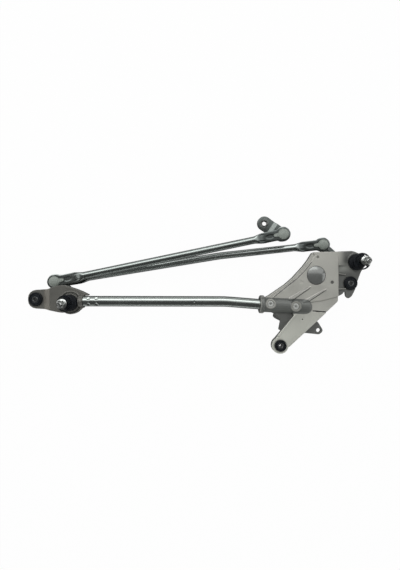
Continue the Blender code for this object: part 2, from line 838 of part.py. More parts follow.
def make_stud(name, centre, ball, plate_base, plate_top, axis, second_ball=None):
    """A ball stud riveted in a plate, with one ball above it or one ball on each side."""
    neck = math.pi - math.asin(STUD_NECK_RADIUS / BALL_RADIUS)
    profile = ball_arc(ball, 0, neck)
    profile[0] = (0, ball + BALL_RADIUS)
    flange_base = plate_top + GAP
    profile += [
        (STUD_NECK_RADIUS, flange_base + STUD_FLANGE_THICKNESS),
        (STUD_FLANGE_RADIUS, flange_base + STUD_FLANGE_THICKNESS),
        (STUD_FLANGE_RADIUS, flange_base),
        (STUD_SHANK_RADIUS, flange_base),
    ]
    if second_ball is None:
        profile += [(STUD_SHANK_RADIUS, plate_base), (0, plate_base)]
    else:
        start = math.asin(STUD_SHANK_RADIUS / BALL_RADIUS)
        arc = ball_arc(second_ball, start, math.pi)
        arc[-1] = (0, second_ball - BALL_RADIUS)
        profile += arc
    item = turned(name, profile, BALL_STEPS)
    item.data.transform(Matrix.Translation((centre[0], centre[1], 0)))
    return finish_piece(item, name, axis, "bright_steel")


def make_lever(name, pivot, base, axis):
    """A flat steel lever from a wiper shaft to its ball stud."""
    top = base + LEVER_THICKNESS
    ball = Vector(pivot) + polar(LEVER_LENGTH, LEVER_ANGLE)
    outline = link_outline(pivot, LEVER_HUB_RADIUS, ball, LEVER_END_RADIUS)
    arm = slab(name, outline, base, top)
    arm = round_edges(arm, 0.0005)
    cut(
        arm,
        disc(name + "_shaft_hole", pivot, SHAFT_SPIGOT_RADIUS + GAP, base - CUT_REACH, top + CUT_REACH),
        disc(name + "_stud_hole", ball, STUD_SHANK_RADIUS + GAP, base - CUT_REACH, top + CUT_REACH),
    )
    middle = Vector(pivot) + polar(LEVER_LENGTH * 0.52, LEVER_ANGLE)
    cut(
        arm,
        pillow(
            name + "_press",
            middle,
            top + LEVER_RIB_DEPTH,
            (LEVER_LENGTH * 0.22, LEVER_END_RADIUS * 0.5, 2 * LEVER_RIB_DEPTH),
            LEVER_ANGLE,
        ),
    )
    return finish_piece(arm, name, axis, "dark_steel")


def make_shaft(side, pivot, lever_base, axis):
    """A wiper shaft: spigot in the lever, bearing length, knurled cone and thread."""
    seat = lever_base + LEVER_THICKNESS + GAP
    groove = ring_level()
    inner = SHAFT_RADIUS - RING_GROOVE_DEPTH
    profile = [
        (0, SHAFT_TOP),
        (SHAFT_THREAD_RADIUS - SHAFT_TIP_CHAMFER, SHAFT_TOP),
        (SHAFT_THREAD_RADIUS, SHAFT_TOP - SHAFT_TIP_CHAMFER),
        (SHAFT_THREAD_RADIUS, SHAFT_CONE_TOP),
        (SHAFT_CONE_TOP_RADIUS, SHAFT_CONE_TOP),
        (SHAFT_RADIUS, SHAFT_CONE_BASE),
        (SHAFT_RADIUS, groove + RING_THICKNESS + GAP),
        (inner, groove + RING_THICKNESS + GAP),
        (inner, groove - GAP),
        (SHAFT_RADIUS, groove - GAP),
        (SHAFT_RADIUS, seat),
        (SHAFT_SPIGOT_RADIUS, seat),
        (SHAFT_SPIGOT_RADIUS, lever_base),
        (0, lever_base),
    ]
    item = turned(side + "_shaft", profile, SHAFT_STEPS)
    item.data.transform(Matrix.Translation((*pivot, 0)))
    return finish_piece(item, side + "_shaft", axis, "bright_steel")


def ring_level():
    return HOUSING_TOP + 2 * GAP + WASHER_THICKNESS


def make_ring(name, pivot, inner, outer, base, top, axis, finish, steps=ROUND_STEPS):
    item = turned(name, [(outer, top), (outer, base), (inner, base), (inner, top)], steps)
    item.data.transform(Matrix.Translation((*pivot, 0)))
    return finish_piece(item, name, axis, finish)


def make_retaining_ring(side, pivot, axis):
    """An open spring ring that sits in the shaft's groove."""
    base = ring_level()
    inner = SHAFT_RADIUS - RING_GROOVE_DEPTH + GAP
    name = side + "_retaining_ring"
    top = base + RING_THICKNESS
    item = turned(name, [(RING_RADIUS, top), (RING_RADIUS, base), (inner, base), (inner, top)])
    item.data.transform(Matrix.Translation((*pivot, 0)))
    mouth = bar(
        name + "_mouth",
        pivot,
        (pivot[0] + 2 * RING_RADIUS, pivot[1]),
        RING_SLOT_WIDTH,
        base - 0.001,
        top + 0.001,
    )
    cut(item, mouth)
    return finish_piece(item, name, axis, "dark_steel")


def make_dust_cap(side, pivot, axis):
    """A rubber cap over the bearing, with an open seal brim higher up the shaft."""
    base = HOUSING_TOP + GAP
    brim = base + CAP_BRIM_BASE
    bore = SHAFT_RADIUS + GAP
    top = brim + CAP_BRIM_THICKNESS
    soft = 0.0008
    profile = [
        (CAP_BRIM_RADIUS - soft, top),
        (CAP_BRIM_RADIUS, top - soft),
        (CAP_BRIM_RADIUS, brim + soft),
        (CAP_BRIM_RADIUS - soft, brim),
        (CAP_NECK_RADIUS, brim),
        (CAP_NECK_RADIUS, base + CAP_SHOULDER_HEIGHT + soft),
        (CAP_SHOULDER_RADIUS - soft, base + CAP_SHOULDER_HEIGHT),
        (CAP_SHOULDER_RADIUS, base + CAP_SHOULDER_HEIGHT - soft),
        (CAP_RADIUS, base + CAP_SKIRT_HEIGHT),
        (CAP_RADIUS, base),
        (CAP_CAVITY_RADIUS, base),
        (CAP_CAVITY_RADIUS, base + CAP_CAVITY_HEIGHT),
        (bore, base + CAP_CAVITY_HEIGHT),
        (bore, top),
    ]
    name = side + "_dust_cap"
    item = turned(name, profile)
    item.data.transform(Matrix.Translation((*pivot, 0)))
    for k in range(3):
        middle = math.radians(-90 + 120 * k)
        points = []
        steps = 5
        for radius, way in ((CAP_WINDOW_OUTER, 1), (CAP_WINDOW_INNER, -1)):
            for n in range(steps + 1):
                angle = middle + way * CAP_WINDOW_ANGLE * (n / steps - 0.5)
                points.append(Vector(pivot) + polar(radius, angle))
        window = slab(name + "_window_%d" % k, points, brim - 0.001, top + 0.001)
        cut(item, window)
    return finish_piece(item, name, axis, "rubber")


def make_nut(side, pivot, axis):
    """The flange nut that keeps the wiper arm on its cone."""
    name = side + "_shaft_nut"
    bore = SHAFT_THREAD_RADIUS + GAP
    top = NUT_BASE + NUT_HEIGHT
    corner = NUT_ACROSS_FLATS / math.sqrt(3)
    hexagon = [Vector(pivot) + polar(corner, math.radians(60 * k)) for k in range(6)]
    item = slab(name, hexagon, NUT_BASE + 0.0004, top)
    item = round_edges(item, 0.0006)
    flange = turned(
        name + "_flange",
        [
            (0, NUT_BASE + NUT_FLANGE_THICKNESS + 0.0016),
            (NUT_ACROSS_FLATS / 2, NUT_BASE + NUT_FLANGE_THICKNESS + 0.0012),
            (NUT_FLANGE_RADIUS, NUT_BASE + NUT_FLANGE_THICKNESS * 0.6),
            (NUT_FLANGE_RADIUS, NUT_BASE),
            (0, NUT_BASE),
        ],
    )
    flange.data.transform(Matrix.Translation((*pivot, 0)))
    join(item, flange)
    cut(item, disc(name + "_bore", pivot, bore, NUT_BASE - 0.005, top + 0.005, 32))
    return finish_piece(item, name, axis, "bright_steel")


def make_bushes(side, pivot, lever_base, axis):
    inner = SHAFT_RADIUS + BUSH_CLEARANCE
    outer = inner + BUSH_WALL
    bottom = column_base(lever_base)
    make_ring(
        side + "_upper_bush",
        pivot,
        inner,
        outer,
        HOUSING_TOP - BUSH_LENGTH,
        HOUSING_TOP,
        axis,
        "sintered_bronze",
    )
    make_ring(
        side + "_lower_bush", pivot, inner, outer, bottom, bottom + BUSH_LENGTH, axis, "sintered_bronze"
    )


def column_base(lever_base):
    """Underside of a bearing column, above its lever and thrust washer."""
    return lever_base + LEVER_THICKNESS + WASHER_THICKNESS + 2 * GAP


def bearing_bore(name, pivot, lever_base):
    """Cutters for the shaft's bore and the seats of its two bushes."""
    seat = SHAFT_RADIUS + BUSH_CLEARANCE + BUSH_WALL + GAP
    bore = SHAFT_RADIUS + BUSH_CLEARANCE + 0.0008
    bottom = column_base(lever_base)
    high = HOUSING_TOP - BUSH_LENGTH - GAP
    low = bottom + BUSH_LENGTH + GAP
    profile = [
        (0, HOUSING_TOP + 0.005),
        (seat, HOUSING_TOP + 0.005),
        (seat, high),
        (bore, high),
        (bore, low),
        (seat, low),
        (seat, bottom - 0.005),
        (0, bottom - 0.005),
    ]
    item = turned(name, profile)
    item.data.transform(Matrix.Translation((*pivot, 0)))
    return item


def make_lever_side(side, pivot, lever_base, frame, axis):
    make_lever(side + "_lever_arm", pivot, lever_base, axis)
    make_shaft(side, pivot, lever_base, axis)
    top = lever_base + LEVER_THICKNESS + GAP
    bore = SHAFT_RADIUS + GAP
    make_ring(
        side + "_lower_washer",
        pivot,
        bore,
        WASHER_RADIUS,
        top,
        top + WASHER_THICKNESS,
        axis,
        "bright_steel",
    )
    make_ring(
        side + "_upper_washer",
        pivot,
        bore,
        WASHER_RADIUS,
        HOUSING_TOP + GAP,
        HOUSING_TOP + GAP + WASHER_THICKNESS,
        axis,
        "bright_steel",
    )
    make_retaining_ring(side, pivot, axis)
    make_dust_cap(side, pivot, axis)
    make_nut(side, pivot, axis)
    make_bushes(side, pivot, lever_base, frame)


def make_crank(ball, axis):
    """A pressed crank: joggled strip trimmed to a two-ended plan outline."""
    eye = Vector(ball) + polar(CRANK_LENGTH, CRANK_ANGLE)
    top = crank_top()
    base = top - CRANK_THICKNESS
    half = CRANK_EYE_RADIUS + 0.005
    length = CRANK_LENGTH + CRANK_EYE_RADIUS + 0.005
    upper = [
        (-half, 0),
        (CRANK_BEND_START, 0),
        (CRANK_BEND_END, -CRANK_DROP),
        (length, -CRANK_DROP),
    ]
    side = upper + [(s, z - CRANK_THICKNESS) for s, z in reversed(upper)]
    strip = slab("motor_crank", [Vector(p) for p in side], -half, half)
    stand = Matrix.Rotation(math.pi / 2, 4, "X")
    turn = Matrix.Rotation(CRANK_ANGLE, 4, "Z")
    strip.data.transform(Matrix.Translation((ball[0], ball[1], top)) @ turn @ stand)
    outline = link_outline(ball, CRANK_END_RADIUS, eye, CRANK_EYE_RADIUS)
    shape = slab("motor_crank_outline", outline, base - 0.02, top + 0.02)
    combine(strip, shape, "INTERSECT")
    cut(
        strip,
        disc("crank_stud_hole", ball, STUD_SHANK_RADIUS + GAP, base - CUT_REACH, top + CUT_REACH),
        disc("crank_eye_hole", eye, CRANK_EYE_HOLE, base - CUT_REACH, top + CUT_REACH, 32),
        disc(
            "crank_eye_chamfer",
            eye,
            CRANK_EYE_HOLE - 0.0002,
            top - CRANK_DROP - 0.0016,
            top - CRANK_DROP + 0.0004,
            32,
            CRANK_EYE_CHAMFER,
        ),
    )
    return finish_piece(strip, "motor_crank", axis, "dark_steel")


def crank_top():
    """Upper face of the crank's ball end, as far below its ball as on the left lever."""
    lever_top = (LINK_ROD_LEVEL + MOTOR_ROD_LEVEL + LEVER_THICKNESS) / 2
    return lever_top + 0.0012


def make_fixing(label, centre, top, thickness, hole, flange, sleeve, axis):
    """A rubber mounting bush in its lug and the steel sleeve inside it."""
    base = top - thickness
    soft = GROMMET_EDGE_ROUND
    crown = top + GAP + GROMMET_FLANGE_THICKNESS
    foot = base - GAP - GROMMET_FLANGE_THICKNESS
    waist = hole - GAP
    bore = sleeve + GAP
    profile = [
        (flange - soft, crown),
        (flange, crown - soft),
        (flange, top + GAP),
        (waist, top + GAP),
        (waist, base - GAP),
        (flange - soft, base - GAP),
        (flange - soft, foot + soft),
        (flange - 2 * soft, foot),
        (bore, foot),
        (bore, crown),
    ]
    name = label + "_grommet"
    item = turned(name, profile, 20)
    item.data.transform(Matrix.Translation((*centre, 0)))
    finish_piece(item, name, axis, "rubber")
    make_ring(
        label + "_sleeve",
        centre,
        SLEEVE_BORE_RADIUS,
        sleeve,
        foot - SLEEVE_STAND,
        crown + SLEEVE_STAND,
        axis,
        "bright_steel",
        20,
    )


def socket_direction():
    return polar(1, TUBE_SOCKET_ANGLE)


def pin_places():
    """Name, plan centre and boss radius of each pin, from its place along and beside the tube."""
    along = socket_direction()
    aside = Vector((-along.y, along.x))
    return [
        (name, Vector(TUBE_SOCKET_MOUTH) + along * distance + aside * sideways, radius)
        for name, distance, sideways, radius in PIN_BOSSES
    ]


def tube_path():
    """Plan path of the frame tube, from the left spigot to its end in the socket."""
    mouth = Vector(TUBE_SOCKET_MOUTH)
    end = mouth + socket_direction() * TUBE_DEPTH_IN_SOCKET
    first = bent_path(TUBE_LEFT_END, TUBE_BEND_START, mouth, TUBE_BEND_RADIUS)
    return first[:-1] + [mouth, end]


def swept_tube(name, path, radius, level, stretch=0.0):
    """A round bar along a plan path, longer at both ends by stretch."""
    points = list(path)
    points[0] = points[0] - (points[1] - points[0]).normalized() * stretch
    points[-1] = points[-1] + (points[-1] - points[-2]).normalized() * stretch
    curve = bpy.data.curves.new(name, "CURVE")
    curve.dimensions = "3D"
    curve.bevel_depth = radius
    curve.bevel_resolution = 4
    curve.use_fill_caps = True
    spline = curve.splines.new("POLY")
    spline.points.add(len(points) - 1)
    for point, place in zip(spline.points, points):
        point.co = (place[0], place[1], level, 1)
    guide = bpy.data.objects.new(name + "_curve", curve)
    TOOLS.objects.link(guide)
    bpy.context.view_layer.update()
    seen = guide.evaluated_get(bpy.context.evaluated_depsgraph_get())
    mesh = bpy.data.meshes.new_from_object(seen)
    mesh.transform(guide.matrix_world)
    bpy.data.objects.remove(guide)
    bpy.data.curves.remove(curve)
    work = bmesh.new()
    work.from_mesh(mesh)
    bmesh.ops.remove_doubles(work, verts=work.verts, dist=MERGE)
    bmesh.ops.recalc_face_normals(work, faces=work.faces)
    work.to_mesh(mesh)
    work.free()
    return new_object(name, mesh, TOOLS)


def make_frame_tube(axis):
    """The bent steel tube, hollow, with crimps at the left and pin holes at the right."""
    path = tube_path()
    tube = swept_tube("frame_tube", path, TUBE_RADIUS, TUBE_LEVEL)
    cut(tube, swept_tube("tube_hollow", path, TUBE_RADIUS - TUBE_WALL, TUBE_LEVEL, CUT_REACH))
    tube = settled(tube)
    start, heading = along_path(path, 0)
    for n, place in enumerate(CRIMP_PLACES):
        for side in (-1, 1):
            reach = TUBE_RADIUS + CRIMP_RADIUS - CRIMP_DEPTH
            across = side * math.sin(CRIMP_ANGLE) * reach
            up = math.cos(CRIMP_ANGLE) * reach
            spot = start + heading * place + Vector((-heading.y, heading.x)) * across
            dent = pillow(
                "crimp_%d_%d" % (n, side), spot, TUBE_LEVEL + up, (CRIMP_RADIUS,) * 3
            )
            cut(tube, dent)
    spot, _ = along_path(path, TUBE_MARK_PLACE)
    mark = pillow(
        "tube_mark",
        spot,
        TUBE_LEVEL + TUBE_RADIUS + TUBE_MARK_RADIUS - TUBE_MARK_DEPTH,
        (TUBE_MARK_RADIUS,) * 3,
    )
    cut(tube, mark)
    for name, centre, _ in pin_places():
        hole = disc(
            name + "_tube_hole",
            centre,
            PIN_RADIUS + GAP,
            TUBE_LEVEL + 0.001,
            TUBE_LEVEL + 2 * TUBE_RADIUS,
            FINE_STEPS,
        )
        cut(tube, hole)
    return finish_piece(tube, "frame_tube", axis, "zinc_tube")


def make_pin(name, centre, axis):
    """A tube pin with a recessed head."""
    profile = [
        (0, PIN_HEAD_TOP - PIN_SOCKET_DEPTH),
        (PIN_SOCKET_RADIUS, PIN_HEAD_TOP - PIN_SOCKET_DEPTH),
        (PIN_SOCKET_RADIUS, PIN_HEAD_TOP),
        (PIN_HEAD_RADIUS - 0.0006, PIN_HEAD_TOP),
        (PIN_HEAD_RADIUS, PIN_HEAD_TOP - 0.0006),
        (PIN_HEAD_RADIUS, PIN_HEAD_BASE),
        (PIN_RADIUS, PIN_HEAD_BASE),
        (PIN_RADIUS, PIN_TIP),
        (0, PIN_TIP),
    ]
    item = turned(name, profile, FINE_STEPS)
    item.data.transform(Matrix.Translation((*centre, 0)))
    return finish_piece(item, name, axis, "bright_steel")


def tube_socket():
    """The casting's socket for the frame tube: collar, barrel and rounded end."""
    heading = socket_direction()
    steps = 6
    barrel = SOCKET_TUBE_LENGTH - SOCKET_TUBE_RADIUS
    profile = []
    for k in range(steps + 1):
        angle = math.pi / 2 * k / steps
        profile.append(
            (SOCKET_TUBE_RADIUS * math.sin(angle), barrel + SOCKET_TUBE_RADIUS * math.cos(angle))
        )
    profile[0] = (0, SOCKET_TUBE_LENGTH)
    profile += [
        (SOCKET_TUBE_RADIUS, SOCKET_COLLAR_LENGTH + 0.002),
        (SOCKET_COLLAR_RADIUS, SOCKET_COLLAR_LENGTH),
        (SOCKET_COLLAR_RADIUS, 0),
        (0, 0),
    ]
    item = turned("tube_socket", profile)
    lay = Matrix.Rotation(math.pi / 2, 4, "Y")
    spin = Matrix.Rotation(math.atan2(heading.y, heading.x), 4, "Z")
    mouth = Matrix.Translation((*TUBE_SOCKET_MOUTH, TUBE_LEVEL))
    item.data.transform(mouth @ spin @ lay)
    far = Vector(TUBE_SOCKET_MOUTH) + heading * (SOCKET_TUBE_LENGTH + CUT_REACH)
    near = Vector(TUBE_SOCKET_MOUTH) - heading * CUT_REACH
    width = 3 * SOCKET_COLLAR_RADIUS
    cut(item, bar("socket_underside", near, far, width, TUBE_LEVEL - width, SOCKET_UNDERSIDE))
    return settled(item)


def dome():
    """The round dome over the motor shaft's nut."""
    sphere = (DOME_RADIUS**2 + DOME_HEIGHT**2) / (2 * DOME_HEIGHT)
    limit = math.asin(DOME_RADIUS / sphere)
    steps = 7
    profile = []
    for k in range(steps + 1):
        angle = limit * k / steps
        height = PLATE_TOP + DOME_HEIGHT - sphere * (1 - math.cos(angle))
        profile.append((sphere * math.sin(angle), height))
    profile[0] = (0, PLATE_TOP + DOME_HEIGHT)
    profile += [(DOME_RADIUS, PLATE_TOP - 0.003), (0, PLATE_TOP - 0.003)]
    item = turned("dome", profile)
    item.data.transform(Matrix.Translation((*DOME_CENTRE, 0)))
    return item


def dome_ring():
    """Cutter for the fine groove round the dome."""
    base, top = PLATE_TOP - DOME_RING_DEPTH, PLATE_TOP + 0.002
    item = turned(
        "dome_groove",
        [
            (DOME_RING_RADIUS, top),
            (DOME_RING_RADIUS, base),
            (DOME_RADIUS + 0.0001, base),
            (DOME_RADIUS + 0.0001, top),
        ],
    )
    item.data.transform(Matrix.Translation((*DOME_CENTRE, 0)))
    return item


def edge_strip():
    """Cutter that steps the plate's hollow-curved left edge down."""
    inner = inset(PLATE_OUTLINE, EDGE_STRIP_WIDTH)
    outer = inset(PLATE_OUTLINE, -0.004)
    inside = [inner[i] for i in (9, 10, 11, 0)]
    outside = [outer[i] for i in (9, 10, 11, 0)]
    ring = inside + list(reversed(outside))
    return slab("edge_strip", rounded(ring), PLATE_TOP - EDGE_STRIP_DEPTH, PLATE_TOP + CUT_REACH)


def upright_slab(name, side_view, near, far):
    """A slab whose outline (x, z) is seen from the front, between two y places."""
    item = slab(name, [Vector(p) for p in side_view], -far, -near)
    item.data.transform(Matrix.Rotation(math.pi / 2, 4, "X"))
    return item


def make_bracket(axis):
    """The large casting: pan-shaped plate, wing, web, tube socket, leg, ear and motor posts."""
    floor = PLATE_TOP - PLATE_DEPTH
    plate = slab("bracket_casting", rounded(PLATE_OUTLINE), floor, PLATE_TOP)
    lug = disc("leg_lug", LEG_LUG_CENTRE, LEG_LUG_RADIUS, floor - 0.0001, PLATE_TOP - 0.0001)
    pocket = slab(
        "plate_pocket",
        rounded(inset(PLATE_OUTLINE, PLATE_WALL)),
        floor - CUT_REACH,
        PLATE_TOP - PLATE_THICKNESS,
    )
    plate = round_edges(plate, PLATE_EDGE_ROUND)
    cut(plate, pocket)
    cut(plate, edge_strip())
    lowered = slab(
        "lowered_face", rounded(LOWERED_OUTLINE), PLATE_TOP - LOWERED_DEPTH, PLATE_TOP + CUT_REACH
    )
    cut(plate, lowered)
    plate = settled(plate)
    for n, (start, end) in enumerate(UNDER_RIBS):
        join(
            plate,
            bar("under_rib_%d" % n, start, end, UNDER_RIB_WIDTH, floor + 0.002, PLATE_TOP - 0.0035),
        )
    join(plate, lug)
    wing = slab("wing", rounded(WING_OUTLINE), WING_TOP - WING_THICKNESS, WING_TOP)
    join(plate, round_edges(wing, 0.0008))
    web = slab("web", rounded(WEB_OUTLINE), WEB_TOP - WEB_THICKNESS, WEB_TOP)
    join(plate, web)
    plate = settled(plate)
    (ramp_start, ramp_high), (ramp_end, ramp_low) = WING_RAMP
    ramp_base = WING_TOP - WING_THICKNESS / 2
    ramp = [
        (ramp_start, ramp_base),
        (ramp_start, ramp_high),
        (ramp_end, ramp_low),
        (ramp_end, ramp_base),
    ]
    join(plate, upright_slab("wing_ramp", ramp, *WING_RAMP_SIDES))
    ear = slab("ear", rounded(EAR_OUTLINE), EAR_TOP - EAR_THICKNESS, EAR_TOP)
    join(plate, round_edges(ear, 0.0006))
    for n, (start, end) in enumerate(WING_RIBS):
        join(
            plate,
            ridge("wing_rib_%d" % n, start, end, WING_RIB_WIDTH, WING_TOP - 0.0005, WING_RIB_HEIGHT),
        )
    join(plate, ridge("leg_rib", *LEG_RIB, LEG_RIB_WIDTH, PLATE_TOP - 0.0004, LEG_RIB_HEIGHT))
    for n, (start, end) in enumerate(PLATE_RIBS):
        join(
            plate,
            ridge(
                "plate_rib_%d" % n,
                start,
                end,
                PLATE_RIB_WIDTH,
                PLATE_TOP - 0.0004,
                PLATE_RIB_HEIGHT,
                PLATE_RIB_TIP_WIDTH,
            ),
        )
    cut(plate, dome_ring())
    join(plate, dome())
    join(plate, tube_socket())
    for name, centre, radius in pin_places():
        join(plate, disc(name + "_boss", centre, radius, TUBE_LEVEL, PIN_BOSS_TOP))
    boss = disc(
        "bearing_boss", RIGHT_PIVOT, HOUSING_BOSS_RADIUS, WING_TOP - WING_THICKNESS / 2, HOUSING_TOP
    )
    join(plate, boss)
    bottom = column_base(RIGHT_LEVER_BASE)
    column = disc(
        "bearing_column",
        RIGHT_PIVOT,
        COLUMN_RADIUS - 0.0005,
        bottom,
        WING_TOP - 0.001,
        ROUND_STEPS,
        COLUMN_RADIUS + 0.0025,
    )
    join(plate, column)
    for n, (centre, top) in enumerate(MOTOR_POSTS):
        post = disc(
            "motor_post_%d" % n, centre, POST_FOOT_RADIUS, 0, top, FINE_STEPS, POST_ROOT_RADIUS
        )
        join(plate, post)
    plate = settled(plate)
    heading = socket_direction()
    mouth = Vector(TUBE_SOCKET_MOUTH)
    bore_path = [
        mouth - heading * CUT_REACH,
        mouth + heading * (TUBE_DEPTH_IN_SOCKET + 0.001),
    ]
    cut(plate, swept_tube("tube_bore", bore_path, TUBE_RADIUS + GAP, TUBE_LEVEL))
    for name, centre, _ in pin_places():
        cut(
            plate,
            disc(
                name + "_head_hole",
                centre,
                PIN_HEAD_RADIUS + GAP,
                PIN_HEAD_BASE - GAP,
                PIN_BOSS_TOP + CUT_REACH,
                FINE_STEPS,
            ),
            disc(
                name + "_shank_hole",
                centre,
                PIN_RADIUS + GAP,
                TUBE_LEVEL,
                PIN_HEAD_BASE + 0.001,
                FINE_STEPS,
            ),
        )
    cut(plate, bearing_bore("right_bore", RIGHT_PIVOT, RIGHT_LEVER_BASE))
    below = floor - CUT_REACH
    for label, centre, _, _, hole, _, _ in FIXINGS[1:]:
        cut(plate, disc(label + "_hole", centre, hole, below, PLATE_TOP + CUT_REACH))
    _, centre, top, thickness, _, flange, _ = FIXINGS[1]
    cut(plate, disc("leg_clearance", centre, flange + LEG_FLANGE_ROOM, below, top - thickness))
    cut(plate, disc("ear_hole", EAR_HOLE_CENTRE, EAR_HOLE_RADIUS, below, EAR_TOP + CUT_REACH))
    cut(plate, bar("face_slot", *SLOT, SLOT_WIDTH, PLATE_TOP - SLOT_DEPTH, PLATE_TOP + CUT_REACH))
    cut(
        plate,
        disc(
            "leg_dimple",
            LEG_DIMPLE_CENTRE,
            LEG_DIMPLE_RADIUS,
            PLATE_TOP - LEG_DIMPLE_DEPTH,
            PLATE_TOP + CUT_REACH,
            FINE_STEPS,
        ),
    )
    for n, centre in enumerate(EJECTOR_MARKS):
        mark = disc(
            "ejector_%d" % n,
            centre,
            EJECTOR_RADIUS,
            PLATE_TOP - EJECTOR_DEPTH,
            PLATE_TOP + 0.004,
            20,
        )
        cut(plate, mark)
    for n, (centre, _) in enumerate(MOTOR_POSTS):
        cut(
            plate,
            disc("post_hole_%d" % n, centre, POST_HOLE_RADIUS, -0.005, POST_HOLE_DEPTH, 20),
        )
    return finish_piece(plate, "bracket_casting", axis, "cast_light")


def make_left_housing(axis):
    """The small casting: lug, stepped body, bearing column and spigot for the tube."""
    base = LEFT_TOP - LEFT_THICKNESS
    body = slab("left_pivot_housing", rounded(LEFT_OUTLINE), base, LEFT_TOP)
    body = round_edges(body, LEFT_EDGE_ROUND)
    edges_x = [corner[0] for corner in LEFT_OUTLINE]
    edges_y = [corner[1] for corner in LEFT_OUTLINE]
    outside = min(edges_x) - CUT_REACH
    step = [
        (outside, LEFT_TOP + CUT_REACH),
        (LEFT_STEP_TO, LEFT_TOP + CUT_REACH),
        (LEFT_STEP_TO, LEFT_TOP),
        (LEFT_STEP_FROM, LEFT_LUG_TOP),
        (outside, LEFT_LUG_TOP),
    ]
    cut(body, upright_slab("lug_step", step, min(edges_y) - CUT_REACH, max(edges_y) + CUT_REACH))
    body = settled(body)
    hollow = slab("left_pocket", rounded(LEFT_POCKET_OUTLINE), base - CUT_REACH, LEFT_FLOOR)
    cut(body, hollow)
    rim = disc(
        "outer_rim", LEFT_PIVOT, LEFT_RIM_RADIUS, base + 0.001, HOUSING_TOP - LEFT_RIM_DROP
    )
    boss = disc("inner_rim", LEFT_PIVOT, HOUSING_BOSS_RADIUS, base + 0.002, HOUSING_TOP)
    bottom = column_base(left_lever_base())
    column = disc(
        "left_column",
        LEFT_PIVOT,
        COLUMN_RADIUS - 0.0005,
        bottom,
        LEFT_TOP - 0.001,
        ROUND_STEPS,
        COLUMN_RADIUS + 0.0015,
    )
    join(body, rim)
    inner, outer = LEFT_GROOVE
    rim_top = HOUSING_TOP - LEFT_RIM_DROP
    groove = turned(
        "rim_groove",
        [
            (outer, rim_top + CUT_REACH),
            (outer, rim_top - LEFT_GROOVE_DEPTH),
            (inner, rim_top - LEFT_GROOVE_DEPTH),
            (inner, rim_top + CUT_REACH),
        ],
    )
    groove.data.transform(Matrix.Translation((*LEFT_PIVOT, 0)))
    cut(body, groove)
    body = settled(body)
    join(body, boss, column)
    start = Vector((NECK_START, TUBE_LEFT_END[1]))
    end = Vector(TUBE_LEFT_END)
    neck = swept_tube("neck", [start, end - Vector((GAP, 0))], NECK_RADIUS, TUBE_LEVEL)
    tip = end + Vector((SPIGOT_LENGTH, 0))
    spigot_radius = TUBE_RADIUS - TUBE_WALL - GAP
    root = start + Vector((NECK_RADIUS / 2, 0))
    spigot = swept_tube("spigot", [root, tip], spigot_radius, TUBE_LEVEL)
    cap_room = disc(
        "cap_room",
        LEFT_PIVOT,
        CAP_RADIUS + 2 * GAP,
        HOUSING_TOP,
        HOUSING_TOP + CUT_REACH,
    )
    join(body, neck, spigot)
    cut(body, cap_room)
    cut(body, bearing_bore("left_bore", LEFT_PIVOT, left_lever_base()))
    _, centre, top, _, hole, _, _ = FIXINGS[0]
    cut(body, disc("left_lug_hole", centre, hole, base - CUT_REACH, top + CUT_REACH))
    return finish_piece(body, "left_pivot_housing", axis, "cast_dark")


def left_lever_base():
    """The left lever lies midway between the two rods."""
    return (LINK_ROD_LEVEL + MOTOR_ROD_LEVEL - LEVER_THICKNESS) / 2


for old in list(bpy.data.objects):
    bpy.data.objects.remove(old)

PIECES = new_collection("wiper_linkage")
TOOLS = new_collection("cutters")
MATERIALS = {name: make_material(name) for name in FINISHES}

left_ball = Vector(LEFT_PIVOT) + polar(LEVER_LENGTH, LEVER_ANGLE)
right_ball = Vector(RIGHT_PIVOT) + polar(LEVER_LENGTH, LEVER_ANGLE)
crank_ball = left_ball + polar(MOTOR_ROD_LENGTH, MOTOR_ROD_ANGLE)

frame_axis = axis_empty("frame_axis", (0, 0))
left_axis = axis_empty("left_pivot_axis", LEFT_PIVOT, frame_axis)
right_axis = axis_empty("right_pivot_axis", RIGHT_PIVOT, frame_axis)
link_axis = axis_empty("link_rod_axis", tuple(left_ball), left_axis)
motor_rod_axis = axis_empty("motor_rod_axis", tuple(left_ball), link_axis)
crank_axis = axis_empty("crank_axis", tuple(crank_ball), motor_rod_axis)

make_bracket(frame_axis)
make_left_housing(frame_axis)
make_frame_tube(frame_axis)
for pin_name, pin_centre, _ in pin_places():
    make_pin(pin_name, pin_centre, frame_axis)
for fixing in FIXINGS:
    make_fixing(*fixing, frame_axis)

make_lever_side("left", LEFT_PIVOT, left_lever_base(), frame_axis, left_axis)
left_plate_top = left_lever_base() + LEVER_THICKNESS
make_stud(
    "left_ball_stud",
    left_ball,
    MOTOR_ROD_LEVEL,
    left_lever_base(),
    left_plate_top,
    left_axis,
    LINK_ROD_LEVEL,
)
make_lever_side("right", RIGHT_PIVOT, RIGHT_LEVER_BASE, frame_axis, right_axis)
right_plate_top = RIGHT_LEVER_BASE + LEVER_THICKNESS
make_stud(
    "right_ball_stud", right_ball, LINK_ROD_LEVEL, RIGHT_LEVER_BASE, right_plate_top, right_axis
)

link_path = bent_path(left_ball, LINK_BEND_PLACE, right_ball, LINK_BEND_RADIUS)
make_rod("link_rod", link_path, LINK_ROD_LEVEL, link_axis, (-1, 1))
link_start = link_path[1] - link_path[0]
link_finish = link_path[-2] - link_path[-1]
make_socket(
    "link_rod_left_socket",
    left_ball,
    LINK_ROD_LEVEL,
    -1,
    link_axis,
    math.atan2(link_start.y, link_start.x),
)
make_socket(
    "link_rod_right_socket",
    right_ball,
    LINK_ROD_LEVEL,
    1,
    link_axis,
    math.atan2(link_finish.y, link_finish.x),
)

